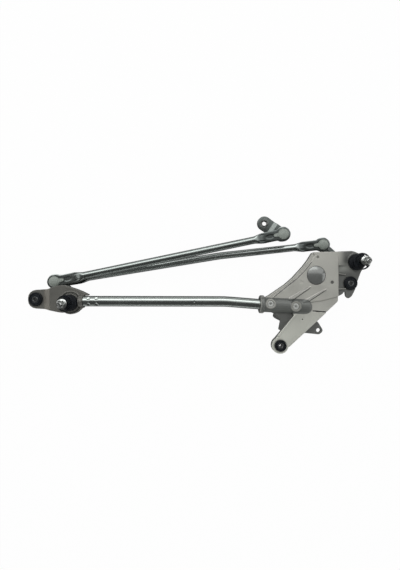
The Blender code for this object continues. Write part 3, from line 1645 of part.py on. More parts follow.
make_rod("motor_rod", [left_ball, crank_ball], MOTOR_ROD_LEVEL, motor_rod_axis, (1, 1))
make_socket(
    "motor_rod_left_socket", left_ball, MOTOR_ROD_LEVEL, 1, motor_rod_axis, MOTOR_ROD_ANGLE
)
make_socket(
    "motor_rod_right_socket",
    crank_ball,
    MOTOR_ROD_LEVEL,
    1,
    motor_rod_axis,
    MOTOR_ROD_ANGLE + math.pi,
)

make_crank(crank_ball, crank_axis)
make_stud(
    "crank_ball_stud",
    crank_ball,
    MOTOR_ROD_LEVEL,
    crank_top() - CRANK_THICKNESS,
    crank_top(),
    crank_axis,
)
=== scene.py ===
# Looks of the tandem wiper linkage: castings, tube, rods, crank, shafts, rubber and nylon parts.
# Lengths are in metres. Plan places are in the linkage's own layout and shifted by layoutShift.

import math

import bmesh
import bpy
from mathutils import Matrix, Vector


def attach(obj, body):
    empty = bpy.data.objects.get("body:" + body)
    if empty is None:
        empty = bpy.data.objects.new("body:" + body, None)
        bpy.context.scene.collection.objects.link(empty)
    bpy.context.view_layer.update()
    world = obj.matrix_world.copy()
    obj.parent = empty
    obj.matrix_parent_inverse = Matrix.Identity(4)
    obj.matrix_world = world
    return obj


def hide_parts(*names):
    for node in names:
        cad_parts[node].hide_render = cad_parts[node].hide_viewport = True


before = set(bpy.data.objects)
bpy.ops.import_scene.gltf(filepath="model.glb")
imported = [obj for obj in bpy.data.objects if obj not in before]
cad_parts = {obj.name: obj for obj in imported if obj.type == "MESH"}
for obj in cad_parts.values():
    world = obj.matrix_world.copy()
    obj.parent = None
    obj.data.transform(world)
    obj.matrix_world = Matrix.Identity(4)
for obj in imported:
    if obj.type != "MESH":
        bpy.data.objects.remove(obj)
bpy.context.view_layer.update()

layoutShift = Vector((0.0090, -0.0055))

studio = dict(
    cameraHeight=0.640, sensor=36, lens=36 * 277 / 570, clipStart=0.01, floorSize=40.0,
    floorLevel=-0.0004, floorColour=(0.88, 0.88, 0.88, 1), floorRoughness=0.9, floorGlow=0.97,
    ambient=0.55, ambientColour=(0.98, 1.0, 0.99, 1), keySize=(2.6, 0.55),
    keyPlace=(-0.15, 1.15, 1.25), keyPower=6.5, fillSize=(2.2, 1.2), fillPlace=(0.0, 0.25, 1.9),
    fillPower=6.0, lampTarget=(0, 0, 0.05), flagRadius=2.4, flagHalfLength=4.0, flagRows=30,
    cardHalfSize=(0.62, 0.36), cardGrey=0.16, cardLift=0.0002,
)

flags = {  # angles from overhead, towards the back, and the grey at each of them
    "frontFlag": [(-88, 0.16), (-50, 0.07), (0, 0.09), (10, 0.18), (18, 0.85)],
    "backFlag": [(58, 0.92), (68, 0.40), (88, 0.22)],
}

levels = dict(
    linkRod=0.0125, motorRod=0.0380, rightLever=0.0005, leftLever=0.02325, crankTop=0.02845,
    tube=0.0620, plateTop=0.0740, housingTop=0.0670,
)


def polar(radius, angle):
    return Vector((radius * math.cos(angle), radius * math.sin(angle)))


leverReach = polar(0.0636, math.radians(136.2))
leftPivot = Vector((-0.2692, -0.0368)) + layoutShift
rightPivot = Vector((0.3234, 0.0473)) + layoutShift
leftBall = leftPivot + leverReach
rightBall = rightPivot + leverReach
motorRodAngle = math.radians(11.78)
crankAngle = math.radians(145.0)
crankLength = 0.0455
crankBall = leftBall + polar(0.5060, motorRodAngle)
crankEye = crankBall + polar(crankLength, crankAngle)


# Mesh helpers

onAxis = 1e-6  # a smaller radius is one point on the axis

def newObject(name, mesh):
    piece = bpy.data.objects.new(name, mesh)
    bpy.context.scene.collection.objects.link(piece)
    return piece


def meshFrom(work, name):
    bmesh.ops.recalc_face_normals(work, faces=work.faces)
    mesh = bpy.data.meshes.new(name)
    work.to_mesh(mesh)
    work.free()
    return mesh


def smoothStep(value, low=0.0, high=1.0):
    t = min(max((value - low) / (high - low), 0.0), 1.0)
    return t * t * (3 - 2 * t)


def wrapRings(work, pairs):
    for first, second in pairs:
        for k in range(len(first)):
            n = (k + 1) % len(first)
            corners = dict.fromkeys((first[k], first[n], second[n], second[k]))
            if len(corners) > 2:
                work.faces.new(list(corners))


def turnPiece(name, profile, centre=(0, 0), steps=64, shape=None):
    # profile runs down the outer side; shape bends a ring's radius by height and angle
    work = bmesh.new()
    rings = []
    for radius, height in profile:
        if radius < onAxis:
            rings.append([work.verts.new((0, 0, height))] * steps)
            continue
        ring = []
        for k in range(steps):
            angle = 2 * math.pi * k / steps
            size = radius if shape is None else shape(radius, height, angle)
            ring.append(work.verts.new((size * math.cos(angle), size * math.sin(angle), height)))
        rings.append(ring)
    pairs = list(zip(rings, rings[1:]))
    if profile[0][0] > onAxis or profile[-1][0] > onAxis:
        pairs.append((rings[-1], rings[0]))
    wrapRings(work, pairs)
    bmesh.ops.translate(work, verts=work.verts, vec=(centre[0], centre[1], 0))
    return newObject(name, meshFrom(work, name))


def platePiece(name, outline, base, top):
    work = bmesh.new()
    lower = [work.verts.new((p[0], p[1], base)) for p in outline]
    upper = [work.verts.new((p[0], p[1], top)) for p in outline]
    work.faces.new(list(reversed(lower)))
    work.faces.new(upper)
    wrapRings(work, [(lower, upper)])
    return newObject(name, meshFrom(work, name))


def skinRings(name, rings, hollow=False):
    # rings of equal count become one skin; a hollow one closes on its first ring
    work = bmesh.new()
    made = [[work.verts.new(p) for p in ring] for ring in rings]
    wrapRings(work, zip(made, made[1:] + made[:1] if hollow else made[1:]))
    if not hollow:
        work.faces.new(made[0])
        work.faces.new(list(reversed(made[-1])))
    return newObject(name, meshFrom(work, name))


def bakePiece(piece):
    bpy.context.view_layer.update()
    seen = piece.evaluated_get(bpy.context.evaluated_depsgraph_get())
    mesh = bpy.data.meshes.new_from_object(seen)
    old = piece.data
    piece.modifiers.clear()
    piece.data = mesh
    bpy.data.meshes.remove(old)
    return piece


def reshape(piece, tools, how="DIFFERENCE"):
    for tool in tools:
        step = piece.modifiers.new("shape", "BOOLEAN")
        step.operation = how
        step.solver = "EXACT"
        step.object = tool
    bakePiece(piece)
    for tool in tools:
        bpy.data.objects.remove(tool)
    return piece


def softEdges(piece, width, segments=3, angle=40):
    bevel = piece.modifiers.new("edges", "BEVEL")
    bevel.width = width
    bevel.segments = segments
    bevel.limit_method = "ANGLE"
    bevel.angle_limit = math.radians(angle)
    return bakePiece(piece)


def castSkin(piece, voxel, soften, keep):
    # the mesh made anew with even faces, its edges softened, and thinned to the share to keep
    skin = piece.modifiers.new("skin", "REMESH")
    skin.mode = "VOXEL"
    skin.voxel_size = voxel
    relax = piece.modifiers.new("relax", "SMOOTH")
    relax.iterations = soften
    relax.factor = 0.5
    piece.modifiers.new("thin", "DECIMATE").ratio = keep
    return bakePiece(piece)


def cadCopy(node, name):
    return newObject(name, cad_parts[node].data.copy())


def topEdge(radius, height, edge):
    return [(radius - edge, height), (radius, height - edge)]


def lowEdge(radius, height, edge):
    return [(radius, height + edge), (radius - edge, height)]


def ringProfile(inner, outer, base, top, edge):
    outside = topEdge(outer, top, edge) + lowEdge(outer, base, edge)
    return outside + topEdge(inner, base, -edge) + lowEdge(inner, top, -edge)


def bentPath(start, corner, end, radius, steps=24):
    start, corner, end = Vector(start), Vector(corner), Vector(end)
    back = (start - corner).normalized()
    on = (end - corner).normalized()
    half = back.angle(on) / 2
    reach = radius / math.tan(half)
    centre = corner + (back + on).normalized() * radius / math.sin(half)
    first = corner + back * reach - centre
    last = corner + on * reach - centre
    sweep = first.angle_signed(last)
    arc = [centre + Matrix.Rotation(-sweep * k / steps, 2) @ first for k in range(steps + 1)]
    return [start] + arc + [end]


def walkPath(path, distance):
    for a, b in zip(path, path[1:]):
        length = (b - a).length
        if distance <= length or b is path[-1]:
            return a + (b - a) * (distance / length), (b - a).normalized()
        distance -= length


def pathLength(path):
    return sum((b - a).length for a, b in zip(path, path[1:]))


def pathRing(path, distance, level, section):
    place, heading = walkPath(path, distance)
    side = Vector((-heading.y, heading.x))
    return [(*(place + side * across), level + up) for across, up in section]


def evenLoop(points, count):
    spans = [(b - a).length for a, b in zip(points, points[1:] + points[:1])]
    total = sum(spans)
    made, i, passed = [], 0, 0.0
    for k in range(count):
        goal = total * k / count
        while passed + spans[i] < goal and i < len(spans) - 1:
            passed += spans[i]
            i += 1
        following = points[(i + 1) % len(points)]
        made.append(points[i].lerp(following, (goal - passed) / spans[i]))
    return made


def linkOutline(start, startRadius, end, endRadius, steps=28):
    along = end - start
    heading = math.atan2(along.y, along.x)
    lean = math.acos((startRadius - endRadius) / along.length)
    points = []
    for k in range(steps + 1):
        points.append(end + polar(endRadius, heading + lean - 2 * lean * k / steps))
    back = 2 * math.pi - 2 * lean
    for k in range(steps + 1):
        points.append(start + polar(startRadius, heading - lean - back * k / steps))
    return points


def dressPiece(piece, body, nodes, material, sharp=35):
    piece.data.materials.clear()
    piece.data.materials.append(material)
    piece.data.shade_smooth()
    if sharp:
        piece.data.set_sharp_from_angle(angle=math.radians(sharp))
    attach(piece, body)
    if nodes:
        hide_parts(*nodes)
    return piece


def dressNode(node, material):
    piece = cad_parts[node]
    piece.data.materials.clear()
    piece.data.materials.append(material)


def pick(look, names):
    return [look[name] for name in names.split()]


def nameOf(node):
    first, *rest = node.split("_")
    return first + "".join(word.capitalize() for word in rest)


def roundCorner(radius, top, size=0.0014, steps=6):
    turns = [math.pi / 2 * k / steps for k in range(steps + 1)]
    return [(radius - size * (1 - math.sin(t)), top - size * (1 - math.cos(t))) for t in turns]


def hexReach(flat, angle):
    return flat / math.cos(angle % (math.pi / 3) - math.pi / 6)


# Node helpers: a value that is a socket is linked, any other value is set


def addNode(tree, kind, settings=None, inputs=None):
    node = tree.nodes.new("ShaderNode" + kind)
    for key, value in (settings or {}).items():
        setattr(node, key, value)
    for key, value in (inputs or {}).items():
        if isinstance(value, bpy.types.NodeSocket):
            tree.links.new(value, node.inputs[key])
        else:
            node.inputs[key].default_value = value
    return node


def mathNode(tree, operation, *values, clamp=False):
    settings = {"operation": operation, "use_clamp": clamp}
    return addNode(tree, "Math", settings, dict(enumerate(values))).outputs[0]


def vectorNode(tree, operation, *values):
    inputs = dict(enumerate(values))
    return addNode(tree, "VectorMath", {"operation": operation}, inputs).outputs[0]


def blendNode(tree, factor, first, second):
    inputs = {"Factor": factor, "A": first, "B": second}
    return addNode(tree, "Mix", {"data_type": "RGBA"}, inputs).outputs["Result"]


def noiseNode(tree, place, scale, detail=2.0):
    inputs = {"Vector": place, "Scale": scale, "Detail": detail}
    return addNode(tree, "TexNoise", inputs=inputs).outputs["Fac"]


def turnNode(tree, vector, angle):
    inputs = {"Vector": vector, "Angle": angle}
    return addNode(tree, "VectorRotate", {"rotation_type": "Z_AXIS"}, inputs).outputs[0]


def splitNode(tree, vector):
    return addNode(tree, "SeparateXYZ", inputs={0: vector}).outputs


def rangeMask(tree, value, low, high, full=1.0):
    inputs = {"Value": value, "From Min": low, "From Max": high, "To Max": full}
    return addNode(tree, "MapRange", {"interpolation_type": "SMOOTHSTEP"}, inputs).outputs[0]


def objectPlace(tree):
    return addNode(tree, "TexCoord").outputs["Object"]


def newMaterial(name, metallic=0.0):
    material = bpy.data.materials.new(name)
    material.use_nodes = True
    shader = material.node_tree.nodes["Principled BSDF"]
    shader.inputs["Metallic"].default_value = metallic
    return material, material.node_tree, shader


# Studio: camera above the middle, pale floor, white surroundings, long soft lamp behind, soft
# lamp overhead, and grey flags and a dark card under the part that only reflections see


def makeCamera():
    data = bpy.data.cameras.new("camera")
    data.lens, data.sensor_width, data.clip_start = pick(studio, "lens sensor clipStart")
    camera = newObject("camera", data)
    camera.location = (*layoutShift, studio["cameraHeight"])
    bpy.context.scene.camera = camera


def backgroundRays(tree):
    rays = addNode(tree, "LightPath").outputs
    seen = mathNode(tree, "MAXIMUM", rays["Is Camera Ray"], rays["Is Glossy Ray"])
    return mathNode(tree, "MAXIMUM", seen, rays["Is Transmission Ray"])


def showSurface(tree, node, output="Material Output"):
    tree.links.new(node.outputs[0], tree.nodes[output].inputs["Surface"])


def gridPiece(name, half, height, segments):
    work = bmesh.new()
    bmesh.ops.create_grid(work, x_segments=segments, y_segments=segments, size=1)
    bmesh.ops.scale(work, vec=(*half, 1), verts=work.verts)
    piece = newObject(name, meshFrom(work, name))
    piece.location.z = height
    return piece


def makeFloor():
    floor = gridPiece("floor", [studio["floorSize"] / 2] * 2, studio["floorLevel"], 4)
    material, tree, shader = newMaterial("paleFloor")
    shader.inputs["Base Color"].default_value = studio["floorColour"]
    shader.inputs["Roughness"].default_value = studio["floorRoughness"]
    weight = mathNode(tree, "MULTIPLY", backgroundRays(tree), studio["floorGlow"])
    glow = addNode(tree, "Emission").outputs[0]
    showSurface(tree, addNode(tree, "MixShader", None, {0: weight, 1: shader.outputs[0], 2: glow}))
    floor.data.materials.append(material)


def makeSurroundings():
    world = bpy.data.worlds.new("whiteSurroundings")
    bpy.context.scene.world = world
    world.use_nodes = True
    tree = world.node_tree
    ambient = tree.nodes["Background"]
    ambient.inputs["Color"].default_value = studio["ambientColour"]
    ambient.inputs["Strength"].default_value = studio["ambient"]
    white = addNode(tree, "Background", inputs={"Color": (1, 1, 1, 1)}).outputs[0]
    shares = {0: backgroundRays(tree), 1: ambient.outputs[0], 2: white}
    showSurface(tree, addNode(tree, "MixShader", inputs=shares), "World Output")


def dressReflector(piece, makeColour):
    # the piece glows in the colour that makeColour builds, and only reflections see it
    material, tree, _ = newMaterial(piece.name)
    showSurface(tree, addNode(tree, "Emission", inputs={"Color": makeColour(tree)}))
    piece.data.materials.append(material)
    piece.visible_camera = False
    piece.visible_diffuse = False
    piece.visible_shadow = False


def makeFlag(name, greys):
    half, radius, steps = pick(studio, "flagHalfLength flagRadius flagRows")
    first, last = greys[0][0], greys[-1][0]
    work = bmesh.new()
    rows = []
    for k in range(steps + 1):
        angle = math.radians(first + (last - first) * k / steps)
        y, z = radius * math.sin(angle), radius * math.cos(angle)
        rows.append([work.verts.new((x, y, z)) for x in (-half, half)])
    for a, b in zip(rows, rows[1:]):
        work.faces.new((a[0], a[1], b[1], b[0]))
    flag = newObject(name, meshFrom(work, name))

    def greyByAngle(tree):
        split = splitNode(tree, objectPlace(tree))
        inputs = {
            "Value": mathNode(tree, "ARCTAN2", split["Y"], split["Z"]),
            "From Min": math.radians(first), "From Max": math.radians(last),
        }
        share = addNode(tree, "MapRange", inputs=inputs).outputs[0]
        ramp = addNode(tree, "ValToRGB", inputs={"Fac": share})
        stops = ramp.color_ramp.elements
        while len(stops) < len(greys):
            stops.new(0.5)
        for stop, (angle, grey) in zip(stops, greys):
            stop.position = (angle - first) / (last - first)
            stop.color = (grey, grey, grey, 1)
        return ramp.outputs["Color"]

    dressReflector(flag, greyByAngle)


def makeCard():
    height = studio["floorLevel"] + studio["cardLift"]
    card = gridPiece("floorCard", studio["cardHalfSize"], height, 2)
    dressReflector(card, lambda tree: (*[studio["cardGrey"]] * 3, 1))


def makeLamp(name, size, place, power, mirrored):
    data = bpy.data.lights.new(name, "AREA")
    data.shape = "RECTANGLE"
    data.size, data.size_y = size
    data.energy = power
    lamp = newObject(name, data)
    lamp.location = place
    away = Vector(place) - Vector(studio["lampTarget"])
    lamp.rotation_euler = away.to_track_quat("Z", "Y").to_euler()
    lamp.visible_glossy = mirrored


makeCamera()
makeFloor()
makeSurroundings()
for flagName, flagGreys in flags.items():
    makeFlag(flagName, flagGreys)
makeCard()
makeLamp("keyLamp", *pick(studio, "keySize keyPlace keyPower"), True)
makeLamp("fillLamp", *pick(studio, "fillSize fillPlace fillPower"), False)
bpy.context.scene.view_settings.view_transform = "Standard"
print("stage: camera, floor, surroundings, flags and lamps ready")


# Shader groups shared by several materials

groupLook = dict(
    speck=0.06, roughSpread=0.35, fineDetail=3.0, blotchDetail=4.0, broadScale=0.12,
    rubbed=(0.520, 0.600), hollowDirtAndShade=(0.493, 0.425), near=(0.92, 0.40), aoShadeSamples=6,
)


def openGroup(name, inputs):
    group = bpy.data.node_groups.new(name, "ShaderNodeTree")
    for label, value in inputs.items():
        kind = "NodeSocketColor" if isinstance(value, tuple) else "NodeSocketFloat"
        socket = group.interface.new_socket(name=label, in_out="INPUT", socket_type=kind)
        socket.default_value = value
    return group, group.nodes.new("NodeGroupInput").outputs


def closeGroup(group, outputs, kind="NodeSocketFloat"):
    for label in outputs:
        group.interface.new_socket(name=label, in_out="OUTPUT", socket_type=kind)
    end = group.nodes.new("NodeGroupOutput")
    for label, socket in outputs.items():
        group.links.new(socket, end.inputs[label])
    return group


def makeGrainGroup():
    look = groupLook
    group, start = openGroup(
        "grain", dict(grainScale=900.0, blotchScale=45.0, blotch=0.12, roughness=0.5),
    )
    place = objectPlace(group)
    fine = noiseNode(group, place, start["grainScale"], look["fineDetail"])
    blotch = noiseNode(group, place, start["blotchScale"], look["blotchDetail"])
    centred = mathNode(group, "SUBTRACT", blotch, 0.5)
    spread = mathNode(group, "MULTIPLY", centred, start["blotch"])
    limits = {"Value": fine, "To Min": -look["speck"], "To Max": look["speck"]}
    speck = addNode(group, "MapRange", inputs=limits).outputs[0]
    tone = mathNode(group, "ADD", mathNode(group, "ADD", spread, speck), 1.0)
    base, spread = start["roughness"], look["roughSpread"]
    rough = mathNode(group, "MULTIPLY_ADD", centred, spread, base, clamp=True)
    return closeGroup(group, {"Tone": tone, "Roughness": rough, "Height": fine})


def makeWearDirtShadeGroup():
    # rubbed edges turn paler; the hollows darken with dirt and painted shade
    group, start = openGroup(
        "edgeWearDirtShade",
        dict(
            colour=(0.3, 0.3, 0.3, 1), worn=(0.6, 0.6, 0.6, 1), dirt=(0.05, 0.05, 0.05, 1),
            tone=1.0, wearAmount=0.5, dirtAndShadeAmount=0.5, creviceShadeMask=0.0,
        ),
    )
    edge = addNode(group, "NewGeometry").outputs["Pointiness"]
    rubbed = rangeMask(group, edge, *groupLook["rubbed"])
    # concave hollows, found by pointiness, take dirt and painted shade
    hollowDirtAndShade = rangeMask(group, edge, *groupLook["hollowDirtAndShade"])
    inputs = {0: start["colour"], "Scale": start["tone"]}
    toned = addNode(group, "VectorMath", {"operation": "SCALE"}, inputs).outputs[0]
    wear = mathNode(group, "MULTIPLY", rubbed, start["wearAmount"])
    amount, near = start["dirtAndShadeAmount"], start["creviceShadeMask"]
    dirt = mathNode(group, "MULTIPLY_ADD", hollowDirtAndShade, amount, near, clamp=True)
    dirtiedAndShaded = blendNode(group, dirt, blendNode(group, wear, toned, start["worn"]), start["dirt"])
    return closeGroup(group, {"Colour": dirtiedAndShaded}, "NodeSocketColor")


def makeDrawnGroup():
    # fine lines along a drawn tube, which lies at the given turn
    scales = dict(turn=0.0, lengthScale=12.0, crossScale=1600.0)
    group, start = openGroup("drawnLines", scales)
    turned = turnNode(group, objectPlace(group), start["turn"])
    cross = start["crossScale"]
    stretch = addNode(group, "CombineXYZ", inputs={0: start["lengthScale"], 1: cross, 2: cross})
    scaled = vectorNode(group, "MULTIPLY", turned, stretch.outputs[0])
    lines = noiseNode(group, scaled, 1.0)
    streak = noiseNode(group, scaled, groupLook["broadScale"], groupLook["fineDetail"])
    return closeGroup(group, {"Lines": lines, "Streak": streak})


grainGroup = makeGrainGroup()
wearDirtShadeGroup = makeWearDirtShadeGroup()
drawnGroup = makeDrawnGroup()


def useGroup(tree, group, look):
    # a group's input takes the value of its own name in the look
    node = addNode(tree, "Group", {"node_tree": group})
    for socket in node.inputs:
        if socket.name in look:
            value = look[socket.name]
            socket.default_value = (*value, 1) if isinstance(value, tuple) else value
    return node


def patchMask(tree, place, centre, angle, half, soft, isRound):
    # a turned box or ellipse seen from above, full inside and fading over its soft edge
    moved = vectorNode(tree, "SUBTRACT", place, (centre[0], centre[1], 0))
    turned = turnNode(tree, moved, -angle)
    scaled = vectorNode(tree, "MULTIPLY", turned, (1 / half[0], 1 / half[1], 0))
    if isRound:
        size = addNode(tree, "VectorMath", {"operation": "LENGTH"}, {0: scaled})
        reach = size.outputs["Value"]
    else:
        split = splitNode(tree, vectorNode(tree, "ABSOLUTE", scaled))
        reach = mathNode(tree, "MAXIMUM", split["X"], split["Y"])
    return rangeMask(tree, reach, 1.0, 1.0 - soft)


def regionTint(tree, wear, colour, regions, patches):
    # a region is an axis, where its tint starts and where it is full, and the tint
    place = objectPlace(tree)
    split = splitNode(tree, place)
    masks = [(rangeMask(tree, split[axis], *ends), tint) for axis, *ends, tint in regions]
    masks += [(patchMask(tree, place, *patch), tint) for *patch, tint in patches]
    last = (*colour, 1)
    for mask, tint in masks:
        last = blendNode(tree, mask, last, (*tint, 1))
    tree.links.new(last, wear.inputs["colour"])


def makeFinish(name, look, regions=(), patches=()):
    # a look with a turn is a drawn tube's; one that sets a crevice shade gets painted shade, from
    # ambient occlusion, where surfaces meet
    material, tree, shader = newMaterial(name, look["metallic"])
    grain = useGroup(tree, grainGroup, look).outputs
    tone, height = grain["Tone"], grain["Height"]
    if "turn" in look:
        drawn = useGroup(tree, drawnGroup, look).outputs
        tone = mathNode(tree, "MULTIPLY_ADD", drawn["Streak"], look["streak"], tone)
        height = drawn["Lines"]
    wear = useGroup(tree, wearDirtShadeGroup, look)
    inputs = {"Strength": look["bump"], "Distance": look["bumpDepth"], "Height": height}
    bump = addNode(tree, "Bump", inputs=inputs)
    tree.links.new(tone, wear.inputs["tone"])
    tree.links.new(wear.outputs["Colour"], shader.inputs["Base Color"])
    tree.links.new(grain["Roughness"], shader.inputs["Roughness"])
    tree.links.new(bump.outputs[0], shader.inputs["Normal"])
    if "specular" in look:
        shader.inputs["Specular IOR Level"].default_value = look["specular"]
    # painted shade: ambient occlusion darkens the colour where surfaces meet
    if look.get("crevice"):
        settings = {"samples": groupLook["aoShadeSamples"]}
        near = addNode(tree, "AmbientOcclusion", settings, {"Distance": look["creviceReach"]})
        mask = rangeMask(tree, near.outputs["AO"], *groupLook["near"], look["crevice"])
        tree.links.new(mask, wear.inputs["creviceShadeMask"])
    if regions or patches:
        regionTint(tree, wear, look["colour"], regions, patches)
    return material


castAlloy = dict(
    colour=(0.49, 0.485, 0.445), worn=(0.58, 0.58, 0.54), dirt=(0.05, 0.052, 0.048),
    metallic=0.35, roughness=0.46, grainScale=1500.0, blotchScale=26.0, blotch=0.24,
    wearAmount=0.40, dirtAndShadeAmount=0.85, crevice=0.95, creviceReach=0.0035, bump=0.30,
    bumpDepth=0.0003,
)
# painted light and shade: the leg, towards the front, is painted lighter, and all below the
# plate's top is painted darker
castLightShadeRegions = (
    ("Y", -0.035, -0.110, (0.66, 0.665, 0.60)), ("Z", 0.0722, 0.0672, (0.15, 0.153, 0.145)),
)
# painted shade for the barrel that holds the tube
barrelShade = (0.165, 0.172, 0.162)
barrelTurn = math.radians(-2.82)
castPatches = (  # place, turn, half size, soft edge, round or not, and tint
    # the barrel's painted shade: its long box and its rounded end
    ((0.1690, -0.0422), barrelTurn, (0.0460, 0.0158), 0.06, False, barrelShade),
    ((0.2150, -0.0444), barrelTurn, (0.0158, 0.0158), 0.10, True, barrelShade),
    ((0.2376, 0.0197), 0.0, (0.0196, 0.0198), 0.03, True, (0.04, 0.04, 0.04)),
    # lighter discs round the two pins, kept out of the barrel's painted shade
    ((0.14371, -0.03826), 0.0, (0.0110, 0.0110), 0.10, True, (0.40, 0.40, 0.37)),
    ((0.1950, -0.0435), 0.0, (0.0110, 0.0110), 0.10, True, (0.34, 0.34, 0.31)),
    ((0.2702, 0.0055), 0.0, (0.0042, 0.0042), 0.35, True, (0.12, 0.12, 0.11)),
    ((0.2410, 0.0570), 0.0, (0.0036, 0.0036), 0.50, True, (0.20, 0.20, 0.18)),
    # painted shade over the wing
    ((0.3000, 0.0360), 0.0, (0.0250, 0.0150), 0.95, False, (0.34, 0.345, 0.32)),
)
castLines = (  # painted shadow lines beside the ribs, along the plate's stepped edge and in the slot: start, end, half width and grey
    ((0.1906, -0.0302), (0.2264, -0.0051), 0.0010, 0.07),
    ((0.1814, -0.0290), (0.2231, -0.0027), 0.0006, 0.20),
    ((0.2213, -0.0341), (0.2589, -0.0094), 0.0010, 0.07),
    ((0.2137, -0.0333), (0.2554, -0.0094), 0.0006, 0.20),
    ((0.1508, -0.0247), (0.1694, -0.0102), 0.0009, 0.10),
    ((0.1694, -0.0102), (0.1992, 0.0137), 0.0009, 0.10),
    ((0.1992, 0.0137), (0.2162, 0.0315), 0.0009, 0.10),
    ((0.2162, 0.0315), (0.2282, 0.0468), 0.0009, 0.12),
    ((0.2312, -0.0526), (0.2622, -0.0562), 0.0013, 0.02),
)
lineLap = 0.0025
lineSoft = 0.35


def linePatch(start, end, half, grey):
    start, end = Vector(start), Vector(end)
    span = end - start
    size = (span.length / 2 + lineLap, half)
    return (start + end) / 2, math.atan2(span.y, span.x), size, lineSoft, False, (grey,) * 3


def shifted(patches):
    return [(Vector(place) + layoutShift, *rest) for place, *rest in patches]


bracketPatches = [*castPatches, *(linePatch(*line) for line in castLines)]
bracketMetal = makeFinish("castAlloyBracket", castAlloy, castLightShadeRegions, shifted(bracketPatches))
darkAlloy = dict(castAlloy, colour=(0.16, 0.157, 0.142), worn=(0.42, 0.42, 0.39), roughness=0.40)
housingBand = ((-0.3200, -0.0350), 0.0, (0.0085, 0.06), 0.35, False, (0.205, 0.193, 0.168))
housingMetal = makeFinish("castAlloyHousing", darkAlloy, patches=shifted([housingBand]))
domeMetal = dict(
    castAlloy, colour=(0.27, 0.28, 0.27), worn=(0.36, 0.37, 0.36), metallic=0.60, roughness=0.20,
    blotch=0.08, bump=0.05, crevice=0.0,
)
domeSteel = makeFinish("pressedDomeSteel", domeMetal)

phosphatedSteel = dict(
    colour=(0.13, 0.145, 0.14), worn=(0.40, 0.41, 0.40), dirt=(0.03, 0.035, 0.035), metallic=0.95,
    roughness=0.38, grainScale=2200.0, blotchScale=60.0, blotch=0.25, wearAmount=0.6,
    dirtAndShadeAmount=0.6, bump=0.15, bumpDepth=0.0002,
)
darkSteel = makeFinish("phosphatedSteel", phosphatedSteel)
# painted light on the crank's sloped bend
litSlopeTint = (0.20, 0.22, 0.21)
crankLightShadePatches = [
    (crankBall + polar(0.0250, crankAngle), crankAngle, (0.0046, 0.0200), 0.20, False, litSlopeTint),
    # painted shade: a near-black disc round the crank's eye
    (crankEye, 0.0, (0.0086, 0.0086), 0.12, True, (0.012, 0.013, 0.012)),
]
crankMetal = dict(phosphatedSteel, roughness=0.34)
crankSteel = makeFinish("phosphatedCrank", crankMetal, patches=crankLightShadePatches)
nylonLook = dict(
    phosphatedSteel, colour=(0.29, 0.32, 0.29), worn=(0.38, 0.42, 0.38), dirt=(0.12, 0.14, 0.13),
    metallic=0.0, roughness=0.45, grainScale=700.0, blotch=0.10,
)
nylon = makeFinish("mouldedNylon", nylonLook)
rubberLook = dict(
    nylonLook, colour=(0.006, 0.008, 0.011), worn=(0.025, 0.030, 0.036),
    dirt=(0.003, 0.004, 0.005), roughness=0.48, grainScale=1800.0, blotch=0.35, bump=0.2,
    specular=0.25,
)
rubber = makeFinish("blackRubber", rubberLook)
brightLook = dict(
    phosphatedSteel, colour=(0.58, 0.60, 0.58), worn=(0.75, 0.77, 0.75), dirt=(0.14, 0.15, 0.14),
    metallic=1.0, roughness=0.18, blotch=0.10, bump=0.06,
)
brightSteel = makeFinish("brightPlatedSteel", brightLook)
shaftSteel = makeFinish("groundShaftSteel", dict(brightLook, roughness=0.14))
pinMetal = dict(brightLook, colour=(0.68, 0.69, 0.66), worn=(0.80, 0.81, 0.79), roughness=0.30)
pinSteel = makeFinish("plainPinSteel", dict(pinMetal, metallic=0.45))
sleeveMetal = dict(brightLook, colour=(0.17, 0.18, 0.18), worn=(0.38, 0.39, 0.39), roughness=0.34)
sleeveSteel = makeFinish("dullZincSteel", sleeveMetal)
bronzeLook = dict(brightLook, colour=(0.42, 0.27, 0.12), worn=(0.60, 0.42, 0.22), roughness=0.42)
bronze = makeFinish("sinteredBronze", bronzeLook)
zincLook = dict(
    colour=(0.50, 0.54, 0.515), worn=(0.70, 0.73, 0.71), dirt=(0.08, 0.09, 0.09), metallic=1.0,
    roughness=0.22, turn=0.0, streak=0.06, grainScale=1200.0, blotchScale=20.0, blotch=0.12,
    wearAmount=0.3, dirtAndShadeAmount=0.4, bump=0.005, bumpDepth=0.0002,
)
zincTube = makeFinish("zincTube", zincLook)
# painted shade and painted light for the rods' pressed flats
flatShade = (0.13, 0.145, 0.14)
flatLight = (0.30, 0.33, 0.315)
flatOffset = 0.0220
linkAngle = math.atan2(rightBall.y - leftBall.y, rightBall.x - leftBall.x)


def rodZinc(name, colour, angle, rightEnd, leftLightShadeTint):
    # both pressed ends, right and left, with painted shade on their flats; the left end takes the
    # tint it is given, which paints light on the motor rod
    shape = (angle, (0.0400, 0.0175), 0.25, False)
    offset = polar(flatOffset, angle)
    patches = [(rightEnd - offset, *shape, flatShade), (leftBall + offset, *shape, leftLightShadeTint)]
    return makeFinish(name, dict(zincLook, colour=colour, turn=-angle), patches=patches)


zincRod = rodZinc("zincMotorRod", (0.40, 0.44, 0.42), motorRodAngle, crankBall, flatLight)
# the link rod's zinc is painted lighter than the motor rod's, making up for the light that the
# motor rod shades off it
zincLinkLightened = rodZinc("zincLinkRod", (0.52, 0.56, 0.54), linkAngle, rightBall, flatShade)
print("stage: materials ready")


# Castings

castings = (  # node, slot, material, voxel and share of the faces kept
    ("bracket_casting", "cast_bracket", bracketMetal, 0.0008, 0.45),
    ("left_pivot_housing", "cast_housing", housingMetal, 0.0006, 0.5),
)
softenRounds = 3

domeLook = dict(
    centre=Vector((0.2376, 0.0200)) + layoutShift, radius=0.0184, rise=0.0045, base=0.0728,
    rows=20,
)


